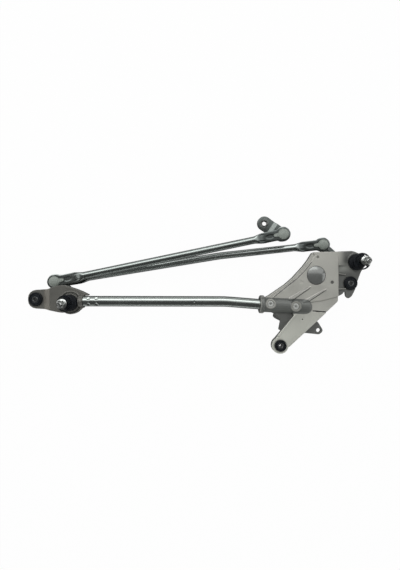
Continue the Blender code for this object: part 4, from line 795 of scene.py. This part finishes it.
def makeDomePlug():
    radius, rise, base, rows = pick(domeLook, "radius rise base rows")
    top = levels["plateTop"] + rise
    sphere = (radius**2 + rise**2) / (2 * rise)
    limit = math.asin(radius / sphere)
    profile = [(0, top)]
    for k in range(1, rows + 1):
        angle = limit * k / rows
        profile.append((sphere * math.sin(angle), top - sphere * (1 - math.cos(angle))))
    profile += [(radius, base), (0, base)]
    piece = turnPiece("motorDomePlug", profile, domeLook["centre"], 96)
    dressPiece(piece, "frame", [], domeSteel, 50)


for castNode, castSlot, castMetal, castVoxel, castKeep in castings:
    casting = castSkin(cadCopy(castNode, nameOf(castNode)), castVoxel, softenRounds, castKeep)
    dressPiece(casting, "frame", [castNode], castMetal, 0)
makeDomePlug()
print("stage: castings ready")


# Frame tube and its two pins

tubeLook = dict(
    radius=0.0110, bore=0.0090, leftEnd=Vector((-0.2415, -0.0337)) + layoutShift,
    bend=Vector((0.0523, -0.0343)) + layoutShift, bendRadius=0.25,
    mouth=Vector((0.1240, -0.0400)) + layoutShift, depth=0.0930, crimpPlaces=(0.0120, 0.0285),
    crimpAngle=math.radians(32), crimpRadius=0.0040, crimpDepth=0.0016, markPlace=0.2300,
    markRadius=0.0022, markDepth=0.0008, edge=0.0006, sides=96, fineStep=0.0005, fineRows=80,
    coarseRows=60,
)

pinLook = dict(
    places=(("tube_pin_outer", 0.0196, 0.0027), ("tube_pin_inner", 0.0711, 0.0)),
    headRadius=0.0064, headTop=0.0776, headBase=0.0742, shankRadius=0.0050, tip=0.0660,
    recessRadius=0.0029, recessDepth=0.0022,
)


def makeTube():
    look = tubeLook
    radius, bore, edge, mark = pick(look, "radius bore edge markPlace")
    sides, fine, fineRows, coarseRows = pick(look, "sides fineStep fineRows coarseRows")
    end = look["mouth"] + polar(look["depth"], barrelTurn)
    path = bentPath(*pick(look, "leftEnd bend mouth bendRadius")) + [end]
    total = pathLength(path)
    crimped = fine * fineRows
    top = math.pi / 2
    dents = []
    for place in look["crimpPlaces"]:
        for turn in (top - look["crimpAngle"], top + look["crimpAngle"]):
            dents.append((place, turn, look["crimpRadius"], look["crimpDepth"]))
    dents.append((mark, top, look["markRadius"], look["markDepth"]))
    stations = [fine * k for k in range(fineRows + 1)]
    stations += [mark + fine * k for k in range(-6, 7)]
    stations += [crimped + (total - crimped) * k / coarseRows for k in range(1, coarseRows + 1)]
    stations.sort()

    def ring(distance, size):
        section = []
        for k in range(sides):
            angle = 2 * math.pi * k / sides
            reach = size
            for place, turn, dentRadius, depth in dents:
                off = math.hypot(distance - place, size * (angle - turn)) / dentRadius
                if off < 1:
                    reach -= depth * (1 - off * off) * (1 - 0.35 * off)
            section.append((reach * math.cos(angle), reach * math.sin(angle)))
        return pathRing(path, distance, levels["tube"], section)

    rings = [ring(0, radius - edge)]
    rings += [ring(distance, radius) for distance in stations[1:-1]]
    rings.append(ring(total, radius - edge))
    rings += [ring(distance, bore) for distance in reversed(stations[::3])]
    piece = skinRings("frameTube", rings, True)
    dressPiece(piece, "frame", ["frame_tube"], zincTube)


def makePins():
    head, top, recess, depth = pick(pinLook, "headRadius headTop recessRadius recessDepth")
    base, shank, tip = pick(pinLook, "headBase shankRadius tip")
    along = polar(1, barrelTurn)
    aside = Vector((-along.y, along.x))

    def hexRecess(radius, height, angle):
        return radius if radius > recess else hexReach(radius * math.cos(math.pi / 6), angle)

    profile = [
        (0, top - depth), (recess, top - depth), (recess, top - 0.0002), (recess + 0.0003, top),
        (head - 0.0012, top), (head - 0.0004, top - 0.0003), (head, top - 0.0010), (head, base),
        (shank, base), *lowEdge(shank, tip, 0.0006), (0, tip),
    ]
    for node, distance, sideways in pinLook["places"]:
        centre = tubeLook["mouth"] + along * distance + aside * sideways
        piece = turnPiece(nameOf(node), profile, centre, 60, hexRecess)
        dressPiece(piece, "frame", [node], pinSteel)


makeTube()
makePins()
print("stage: tube and pins ready")


# Mounting bushes: rubber grommets with steel sleeves

bushLook = dict(
    fixings=(  # label, place, plate's top and thickness, hole, flange and sleeve radius
        ("left_lug", (-0.3433, -0.0298), 0.0600, 0.0060, 0.0106, 0.0142, 0.0060),
        ("leg", (0.1643, -0.1239), 0.0740, 0.0060, 0.0088, 0.0118, 0.0055),
        ("wing", (0.3112, 0.0037), 0.0660, 0.0046, 0.0100, 0.0138, 0.0058),
    ),
    gap=0.0003,
    flange=0.0035,
    grooveDepth=0.0009,
    sleeveBore=0.0034,
    sleeveStand=0.0008,
    sleeveEdge=0.0005,
)


def makeMountingBushes():
    gap, rise, depth, stand = pick(bushLook, "gap flange grooveDepth sleeveStand")
    for label, place, top, thickness, hole, flange, sleeve in bushLook["fixings"]:
        centre = Vector(place) + layoutShift
        base = top - thickness
        crown, foot = top + gap + rise, base - gap - rise
        groove = sleeve + gap + 0.55 * (flange - sleeve)
        bore = sleeve + gap
        profile = [(bore + 0.0004, crown), (groove - 0.0014, crown)]
        for turn in (math.pi * k / 6 for k in range(1, 6)):
            profile.append((groove - 0.0012 * math.cos(turn), crown - depth * math.sin(turn)))
        profile += [(groove + 0.0014, crown)]
        profile += roundCorner(flange, crown)
        profile += [
            *lowEdge(flange, top + gap, 0.0006), (hole - gap, top + gap),
            (hole - gap, base - gap), (flange - 0.0014, base - gap),
            (flange - 0.0010, foot + 0.0014), (flange - 0.0022, foot),
            *topEdge(bore, foot, -0.0004), (bore, crown - 0.0004),
        ]
        piece = turnPiece(nameOf(label + "_grommet"), profile, centre, 72)
        dressPiece(piece, "frame", [label + "_grommet"], rubber, 50)
        ends = (foot - stand, crown + stand, bushLook["sleeveEdge"])
        profile = ringProfile(bushLook["sleeveBore"], sleeve, *ends)
        piece = turnPiece(nameOf(label + "_sleeve"), profile, centre, 64)
        dressPiece(piece, "frame", [label + "_sleeve"], sleeveSteel)


makeMountingBushes()
print("stage: mounting bushes ready")


# Wiper shafts with their bearings, caps and nuts

shaftLook = dict(
    radius=0.0060, spigot=0.0048, coneBase=0.0905, coneTop=0.1000, coneTopRadius=0.0048,
    thread=0.0040, threadRows=44, pitch=0.00125, threadDepth=0.0006, top=0.1140, teeth=36,
    toothDepth=0.00022, ringRoom=0.0015, ringDepth=0.0008, steps=144,
)

nutLook = dict(
    base=0.1010, height=0.0085, flangeRadius=0.0100, flange=0.0022, acrossFlats=0.0130,
    bore=0.0043,
)

capLook = dict(
    radius=0.0168, shoulder=0.0138, neck=0.0088, brim=0.0170, brimBase=0.0190,
    brimThickness=0.0030, windowInner=0.0106, windowOuter=0.0144, windowAngle=math.radians(86),
    cavity=0.0120, cavityHeight=0.0050, gap=0.0003,
)

bearingLook = dict(
    bushInner=0.00635, bushOuter=0.00835, bushLength=0.0120, washerRadius=0.0110,
    washerThickness=0.0014, leverThickness=0.0040, edge=0.0003, gap=0.0003,
)


def makeShaft(side, pivot, leverBase, body):
    radius, spigot, thread, top = pick(shaftLook, "radius spigot thread top")
    coneBase, coneTop, coneRadius = pick(shaftLook, "coneBase coneTop coneTopRadius")
    pitch, threadDepth, threadRows = pick(shaftLook, "pitch threadDepth threadRows")
    teeth, toothDepth = pick(shaftLook, "teeth toothDepth")
    gap, washer, lever = pick(bearingLook, "gap washerThickness leverThickness")
    seat = leverBase + lever + gap
    groove = levels["housingTop"] + 2 * gap + washer
    ringTop = groove + shaftLook["ringRoom"]
    slim = radius - shaftLook["ringDepth"]
    high, low = top - 0.0008, coneTop + 0.0003
    profile = [(0, top - 0.0006), (0.0012, top - 0.0004), (0.0016, top), (thread - 0.0008, top)]
    for k in range(threadRows + 1):
        profile.append((thread, high + (low - high) * k / threadRows))
    profile += [
        *topEdge(coneRadius, coneTop, 0.0003), (radius - 0.0002, coneBase + 0.0012),
        (radius - 0.0001, coneBase + 0.0004), (radius, coneBase), (radius, ringTop),
        (slim, ringTop), (slim, groove - gap), (radius, groove - gap),
        *lowEdge(radius, seat, 0.0003), (spigot, seat), (spigot, leverBase + 0.0004),
        (spigot - 0.0005, leverBase), (0, leverBase),
    ]

    def cutShape(size, height, angle):
        # a screw thread on the tip, and teeth down the cone
        if coneTop + 0.0004 < height < top - 0.0010 and size > thread - 0.0001:
            turn = (height / pitch - angle / (2 * math.pi)) % 1
            return size - threadDepth * abs(2 * turn - 1)
        if coneBase + 0.0006 < height <= coneTop - 0.0002 and size > coneRadius - 0.0001:
            turn = (angle * teeth / (2 * math.pi)) % 1
            return size - toothDepth * abs(2 * turn - 1)
        return size

    piece = turnPiece(side + "Shaft", profile, pivot, shaftLook["steps"], cutShape)
    dressPiece(piece, body, [side + "_shaft"], shaftSteel)


def makeNut(side, pivot, body):
    base, height, rim, flange, bore = pick(nutLook, "base height flangeRadius flange bore")
    flangeTop, top = base + flange, base + height
    flat = nutLook["acrossFlats"] / 2
    corner = flat / math.cos(math.pi / 6)
    profile = [
        (bore + 0.0007, top), (flat - 0.0003, top), (corner, top - 0.0011),
        (corner, flangeTop + 0.0004), (corner + 0.0002, flangeTop), (rim - 0.0005, base + 0.0013),
        (rim, base + 0.0009), *lowEdge(rim, base, 0.0003), (bore, base), (bore, top - 0.0007),
    ]

    def hexShape(size, level, angle):
        if level < flangeTop + 0.0002 or size < bore + 0.0010:
            return size
        return min(size, hexReach(flat, angle))

    piece = turnPiece(side + "ShaftNut", profile, pivot, 96, hexShape)
    dressPiece(piece, body, [side + "_shaft_nut"], brightSteel)


def makeDustCap(side, pivot, body):
    radius, shoulder, neck, brimRadius = pick(capLook, "radius shoulder neck brim")
    inner, outer, window = pick(capLook, "windowInner windowOuter windowAngle")
    gap, cavity, thickness = pick(capLook, "gap cavity brimThickness")
    base = levels["housingTop"] + gap
    brim = base + capLook["brimBase"]
    top = brim + thickness
    bore = shaftLook["radius"] + gap
    ceiling = base + capLook["cavityHeight"]
    profile = [
        *lowEdge(bore, top, -0.0004), (inner - 0.0012, top), (inner - 0.0004, top - 0.0002),
        (outer, top - 0.0003), (outer + 0.0008, top),
    ]
    for turn in (math.pi * k / 8 for k in range(9)):
        level = (brim + top) / 2 + thickness / 2 * math.cos(turn)
        profile.append((brimRadius - 0.0010 * (1 - math.sin(turn)), level))
    profile += [
        (neck + 0.0014, brim), (neck, brim - 0.0012), (neck, base + 0.0135),
        (neck + 0.0008, base + 0.0125), (neck + 0.0008, base + 0.0115), (neck, base + 0.0105),
        (neck + 0.0006, base + 0.0096),
    ]
    profile += roundCorner(shoulder, base + 0.0095)
    profile += [
        (radius - 0.0006, base + 0.0062), (radius, base + 0.0052), *lowEdge(radius, base, 0.0006),
        (cavity, base), (cavity, ceiling), (bore, ceiling),
    ]
    piece = turnPiece(side + "DustCap", profile, pivot, 96)
    tools = []
    for middle in map(math.radians, (-90, 30, 150)):
        points = []
        for edge, way in ((outer, 1), (inner, -1)):
            for n in range(15):
                points.append(pivot + polar(edge, middle + way * window * (n / 14 - 0.5)))
        tools.append(platePiece("window", points, brim - 0.001, top + 0.001))
    reshape(piece, tools)
    dressPiece(piece, body, [side + "_dust_cap"], rubber, 50)


def makeBearing(side, pivot, leverBase, body):
    gap, washer, length, edge = pick(bearingLook, "gap washerThickness bushLength edge")
    top = levels["housingTop"]
    low = leverBase + bearingLook["leverThickness"] + washer + 2 * gap
    for label, base, height, rider in (
        ("upper_bush", top - length, length, "frame"), ("lower_bush", low, length, "frame"),
        ("upper_washer", top + gap, washer, body),
        ("lower_washer", low - gap - washer, washer, body),
    ):
        bush = "bush" in label
        inner = bearingLook["bushInner"] if bush else shaftLook["radius"] + gap
        outer = bearingLook["bushOuter"] if bush else bearingLook["washerRadius"]
        node = side + "_" + label
        profile = ringProfile(inner, outer, base, base + height, edge)
        piece = turnPiece(nameOf(node), profile, pivot, 64)
        dressPiece(piece, rider, [node], bronze if bush else brightSteel)
    dressNode(side + "_retaining_ring", darkSteel)


sides = (
    ("left", leftPivot, levels["leftLever"], "left_lever"),
    ("right", rightPivot, levels["rightLever"], "right_lever"),
)
for shaftSide, shaftPivot, shaftBase, shaftBody in sides:
    makeShaft(shaftSide, shaftPivot, shaftBase, shaftBody)
    makeNut(shaftSide, shaftPivot, shaftBody)
    makeDustCap(shaftSide, shaftPivot, shaftBody)
    makeBearing(shaftSide, shaftPivot, shaftBase, shaftBody)
print("stage: shafts, caps and bearings ready")


# Levers and ball studs

leverLook = dict(
    thickness=0.0040, hubRadius=0.0140, endRadius=0.0110, shaftHole=0.0051, studHole=0.0043,
    edge=0.0006, pressDepth=0.0013, pressPlace=0.52, pressHalf=(0.0145, 0.0052),
)

studLook = dict(
    ball=0.0065, neck=0.0042, shank=0.0040, flange=0.0065, flangeThickness=0.0010, edge=0.0003,
    gap=0.0003,
)


drillReach = 0.01  # how far a drill goes past the metal


def pressTool(centre, level, half, angle):
    work = bmesh.new()
    bmesh.ops.create_uvsphere(work, u_segments=48, v_segments=24, radius=1)
    place = Matrix.Translation((centre[0], centre[1], level))
    place = place @ Matrix.Rotation(angle, 4, "Z") @ Matrix.Diagonal((*half, 1))
    bmesh.ops.transform(work, matrix=place, verts=work.verts)
    return newObject("press", meshFrom(work, "press"))


def drillTool(centre, radius, base, top, topRadius=None):
    upper = radius if topRadius is None else topRadius
    return turnPiece("drill", [(0, top), (upper, top), (radius, base), (0, base)], centre, 64)


def makeLever(side, pivot, base, body):
    thickness, hub, end = pick(leverLook, "thickness hubRadius endRadius")
    edge, depth = pick(leverLook, "edge pressDepth")
    ball = pivot + leverReach
    top = base + thickness
    low, high = base - drillReach, top + drillReach
    piece = platePiece(side + "LeverArm", linkOutline(pivot, hub, ball, end), base, top)
    piece = softEdges(piece, edge)
    reshape(
        piece,
        [
            drillTool(pivot, leverLook["shaftHole"], low, high),
            drillTool(ball, leverLook["studHole"], low, high),
            pressTool(
                pivot + leverReach * leverLook["pressPlace"], top + depth,
                (*leverLook["pressHalf"], 2 * depth), math.atan2(leverReach.y, leverReach.x),
            ),
        ],
    )
    dressPiece(piece, body, [side + "_lever_arm"], darkSteel)


def ballProfile(level, start, end, steps=16):
    radius = studLook["ball"]
    turns = [start + (end - start) * k / steps for k in range(steps + 1)]
    return [(radius * math.sin(turn), level + radius * math.cos(turn)) for turn in turns]


def makeStud(node, centre, ball, plateBase, plateTop, body, secondBall=None):
    radius, neck, shank, flange = pick(studLook, "ball neck shank flange")
    edge = studLook["edge"]
    seat = plateTop + studLook["gap"]
    collar = seat + studLook["flangeThickness"]
    profile = [(0, ball + radius)] + ballProfile(ball, 0, math.pi - math.asin(neck / radius))[1:]
    profile += [
        (neck, collar + edge), (neck + edge, collar), *topEdge(flange, collar, edge),
        (flange, seat), (shank, seat),
    ]
    if secondBall is None:
        profile += lowEdge(shank, plateBase, edge) + [(0, plateBase)]
    else:
        profile += ballProfile(secondBall, math.asin(shank / radius), math.pi)[:-1]
        profile += [(0, secondBall - radius)]
    piece = turnPiece(nameOf(node), profile, centre, 64)
    dressPiece(piece, body, [node], brightSteel)


studPlates = {}
for leverSide, leverPivot, leverBase, leverBody in sides:
    makeLever(leverSide, leverPivot, leverBase, leverBody)
    studPlates[leverSide] = (leverBase, leverBase + leverLook["thickness"], leverBody)
linkLevel, motorLevel = levels["linkRod"], levels["motorRod"]
makeStud("left_ball_stud", leftBall, motorLevel, *studPlates["left"], linkLevel)
makeStud("right_ball_stud", rightBall, linkLevel, *studPlates["right"])
print("stage: levers and studs ready")


# Rods pressed flat at both ends, with their nylon sockets

rodLook = dict(
    radius=0.0080, endHalfWidth=0.0115, endHalfThickness=0.0026, flatLength=0.0420,
    blendLength=0.0240, flatPower=9.0, eyeRadius=0.0160, holeRadius=0.0110, sides=72,
    rawSides=240, pressPlace=0.0290, pressHalf=(0.0110, 0.0058), pressDepth=0.0004,
    foldPlace=0.0500, foldHalf=(0.0110, 0.0030), foldDepth=0.0005,
)

socketLook = dict(
    waist=0.0107, flange=0.0117, seat=0.0030, dome=0.0095, lip=0.0046, cavity=0.0068,
    tailStart=0.0095, tailEnd=0.0215, tailHalfWidth=0.0034, tailTop=0.0058, tailEdge=0.0009,
)


def rodSection(distance, total):
    look = rodLook
    radius, arm, thick, eye = pick(look, "radius endHalfWidth endHalfThickness eyeRadius")
    sides, rawSides = pick(look, "sides rawSides")
    edge = min(distance, total - distance)
    ease = smoothStep(edge, look["flatLength"], look["flatLength"] + look["blendLength"])
    arm += (radius - arm) * ease
    thick += (radius - thick) * ease
    power = look["flatPower"] + (2.0 - look["flatPower"]) * ease
    disc = math.sqrt(max(eye * eye - edge * edge, 0.0))
    arm *= smoothStep(edge, -0.004, 0.006)
    width = max((disc**6 + arm**6) ** (1 / 6), 0.0008)
    raw = []
    for k in range(rawSides):
        angle = 2 * math.pi * k / rawSides
        c, n = math.cos(angle), math.sin(angle)
        across = math.copysign(abs(c) ** (2 / power), c) * width
        raw.append(Vector((across, math.copysign(abs(n) ** (2 / power), n) * thick)))
    points = []
    for point in evenLoop(raw, sides):
        pressLong, pressWide = look["pressHalf"]
        foldLong, foldWide = look["foldHalf"]
        press = math.hypot((edge - look["pressPlace"]) / pressLong, point.x / pressWide)
        beside = (abs(point.x) - 0.62 * width) / foldWide
        fold = math.hypot((edge - look["foldPlace"]) / foldLong, beside)
        sink = look["pressDepth"] * (1 - smoothStep(press, 0.55, 1.0))
        sink += look["foldDepth"] * (1 - smoothStep(fold, 0.0, 1.0))
        height = abs(point.y)
        if height > 0.6 * thick:
            height = max(height - sink, 0.0)
        points.append((point.x, math.copysign(height, point.y)))
    return points


def makeRod(node, path, level, body, zinc):
    total = pathLength(path)
    eye, hole = pick(rodLook, "eyeRadius holeRadius")
    ends = [-eye * math.cos(math.pi / 2 * k / 16) for k in range(17)]
    ends += [0.0010 * k for k in range(1, 17)] + [0.016 + 0.0015 * k for k in range(1, 36)]
    middle = [0.070 + (total - 0.140) * k / 48 for k in range(49)]
    stations = sorted(ends + middle + [total - s for s in ends])
    rings = [pathRing(path, s, level, rodSection(s, total)) for s in stations]
    piece = skinRings(nameOf(node), rings)
    low, high = level - drillReach, level + drillReach
    reshape(piece, [drillTool(end, hole, low, high) for end in (path[0], path[-1])])
    dressPiece(piece, body, [node], zinc)


def makeSocket(node, centre, level, upward, heading, body):
    waist, flange, seat, dome = pick(socketLook, "waist flange seat dome")
    lip, cavity, half, end = pick(socketLook, "lip cavity tailHalfWidth tailEnd")
    start, tailTop, tailEdge = pick(socketLook, "tailStart tailTop tailEdge")
    profile = [(0, dome)]
    for angle in (math.pi / 2 * k / 18 for k in range(1, 19)):
        rise = (dome - seat - 0.0012) * math.cos(angle) ** 1.15
        profile.append((flange * math.sin(angle) - 0.0002, seat + 0.0012 + rise))
    profile += [
        (flange, seat + 0.0008), (flange - 0.0002, seat + 0.0002), (flange - 0.0006, seat),
        (waist, seat), (waist, 0.0008 - lip), (waist - 0.0008, -lip),
    ]
    mouth = math.acos(lip / cavity)
    for angle in (mouth + (math.pi - mouth) * k / 12 for k in range(12)):
        profile.append((cavity * math.sin(angle), -cavity * math.cos(angle)))
    profile.append((0, cavity))
    piece = turnPiece(nameOf(node), profile, (0, 0), 80)
    outline = linkOutline(Vector((start, 0)), half * 1.25, Vector((end - half, 0)), half)
    tail = softEdges(platePiece("tail", outline, seat, tailTop), tailEdge)
    reshape(piece, [tail], "UNION")
    turn = Matrix.Rotation(heading, 4, "Z")
    if upward < 0:
        turn = turn @ Matrix.Rotation(math.pi, 4, "X")
    piece.data.transform(Matrix.Translation((centre[0], centre[1], level)) @ turn)
    dressPiece(piece, body, [node], nylon, 50)


def headingOf(start, end):
    span = end - start
    return math.atan2(span.y, span.x)


linkPath = bentPath(leftBall, Vector((0.0450, 0.0660)) + layoutShift, rightBall, 0.12)
linkBody, motorBody = "link_rod_assembly", "motor_rod_assembly"
makeRod("link_rod", linkPath, linkLevel, linkBody, zincLinkLightened)
makeRod("motor_rod", [leftBall, crankBall], motorLevel, motorBody, zincRod)
linkStart, linkEnd = headingOf(*linkPath[:2]), headingOf(*linkPath[:-3:-1])
makeSocket("link_rod_left_socket", leftBall, linkLevel, -1, linkStart, linkBody)
makeSocket("link_rod_right_socket", rightBall, linkLevel, 1, linkEnd, linkBody)
makeSocket("motor_rod_left_socket", leftBall, motorLevel, 1, motorRodAngle, motorBody)
motorEnd = motorRodAngle + math.pi
makeSocket("motor_rod_right_socket", crankBall, motorLevel, 1, motorEnd, motorBody)
print("stage: rods and sockets ready")


# Crank

crankLook = dict(
    thickness=0.0040, drop=0.0035, bendStart=0.0205, bendEnd=0.0295, ballRadius=0.0145,
    eyeRadius=0.0158, eyeHole=0.0046, chamfer=0.0068, edge=0.0007, studHole=0.0043, capRows=18,
    armRows=90,
)


def makeCrank():
    small, large, drop, edge = pick(crankLook, "ballRadius eyeRadius drop edge")
    bendStart, bendEnd, hole, chamfer = pick(crankLook, "bendStart bendEnd eyeHole chamfer")
    caps, rows = pick(crankLook, "capRows armRows")
    reach, thick = crankLength, crankLook["thickness"] / 2
    lean = (small - large) / reach
    tangent = math.sqrt(1 - lean * lean)
    first, last = small * lean, reach + large * lean

    def halfWidth(s):
        if s < first:
            return math.sqrt(max(small * small - s * s, 0.0))
        if s > last:
            return math.sqrt(max(large * large - (s - reach) ** 2, 0.0))
        return tangent * (small + (large - small) * (s - first) / (last - first))

    stations = [-small * math.cos(math.pi / 2 * k / caps) for k in range(1, caps + 1)]
    stations += [reach * k / rows for k in range(1, rows + 1)]
    stations += [reach + large * math.sin(math.pi / 2 * k / caps) for k in range(1, caps)]
    heading = polar(1, crankAngle)
    side = Vector((-heading.y, heading.x))
    rings = []
    for s in stations:
        share = (s - bendStart) / (bendEnd - bendStart)
        ramp = 0.6 * min(max(share, 0.0), 1.0) + 0.4 * smoothStep(share, -0.12, 1.12)
        middle = levels["crankTop"] - thick - drop * ramp
        width = halfWidth(s)
        soft = min(edge, 0.6 * width)
        ring = []
        for across, up, start in ((1, 1, 0), (-1, 1, 90), (-1, -1, 180), (1, -1, 270)):
            for k in range(5):
                angle = math.radians(start + 90 * k / 4)
                aside = across * (width - soft) + soft * math.cos(angle)
                rise = up * (thick - soft) + soft * math.sin(angle)
                ring.append((*(crankBall + heading * s + side * aside), middle + rise))
        rings.append(ring)
    piece = skinRings("motorCrank", rings)
    eyeTop = levels["crankTop"] - drop
    reshape(
        piece,
        [
            drillTool(crankBall, crankLook["studHole"], 0.01, 0.04),
            drillTool(crankEye, hole, 0.01, 0.04),
            drillTool(crankEye, hole - 0.0003, eyeTop - 0.0019, eyeTop + 0.0003, chamfer),
        ],
    )
    dressPiece(piece, "crank", ["motor_crank"], crankSteel)


makeCrank()
crankTop = levels["crankTop"]
crankBase = crankTop - crankLook["thickness"]
makeStud("crank_ball_stud", crankBall, motorLevel, crankBase, crankTop, "crank")
print("stage: crank ready")
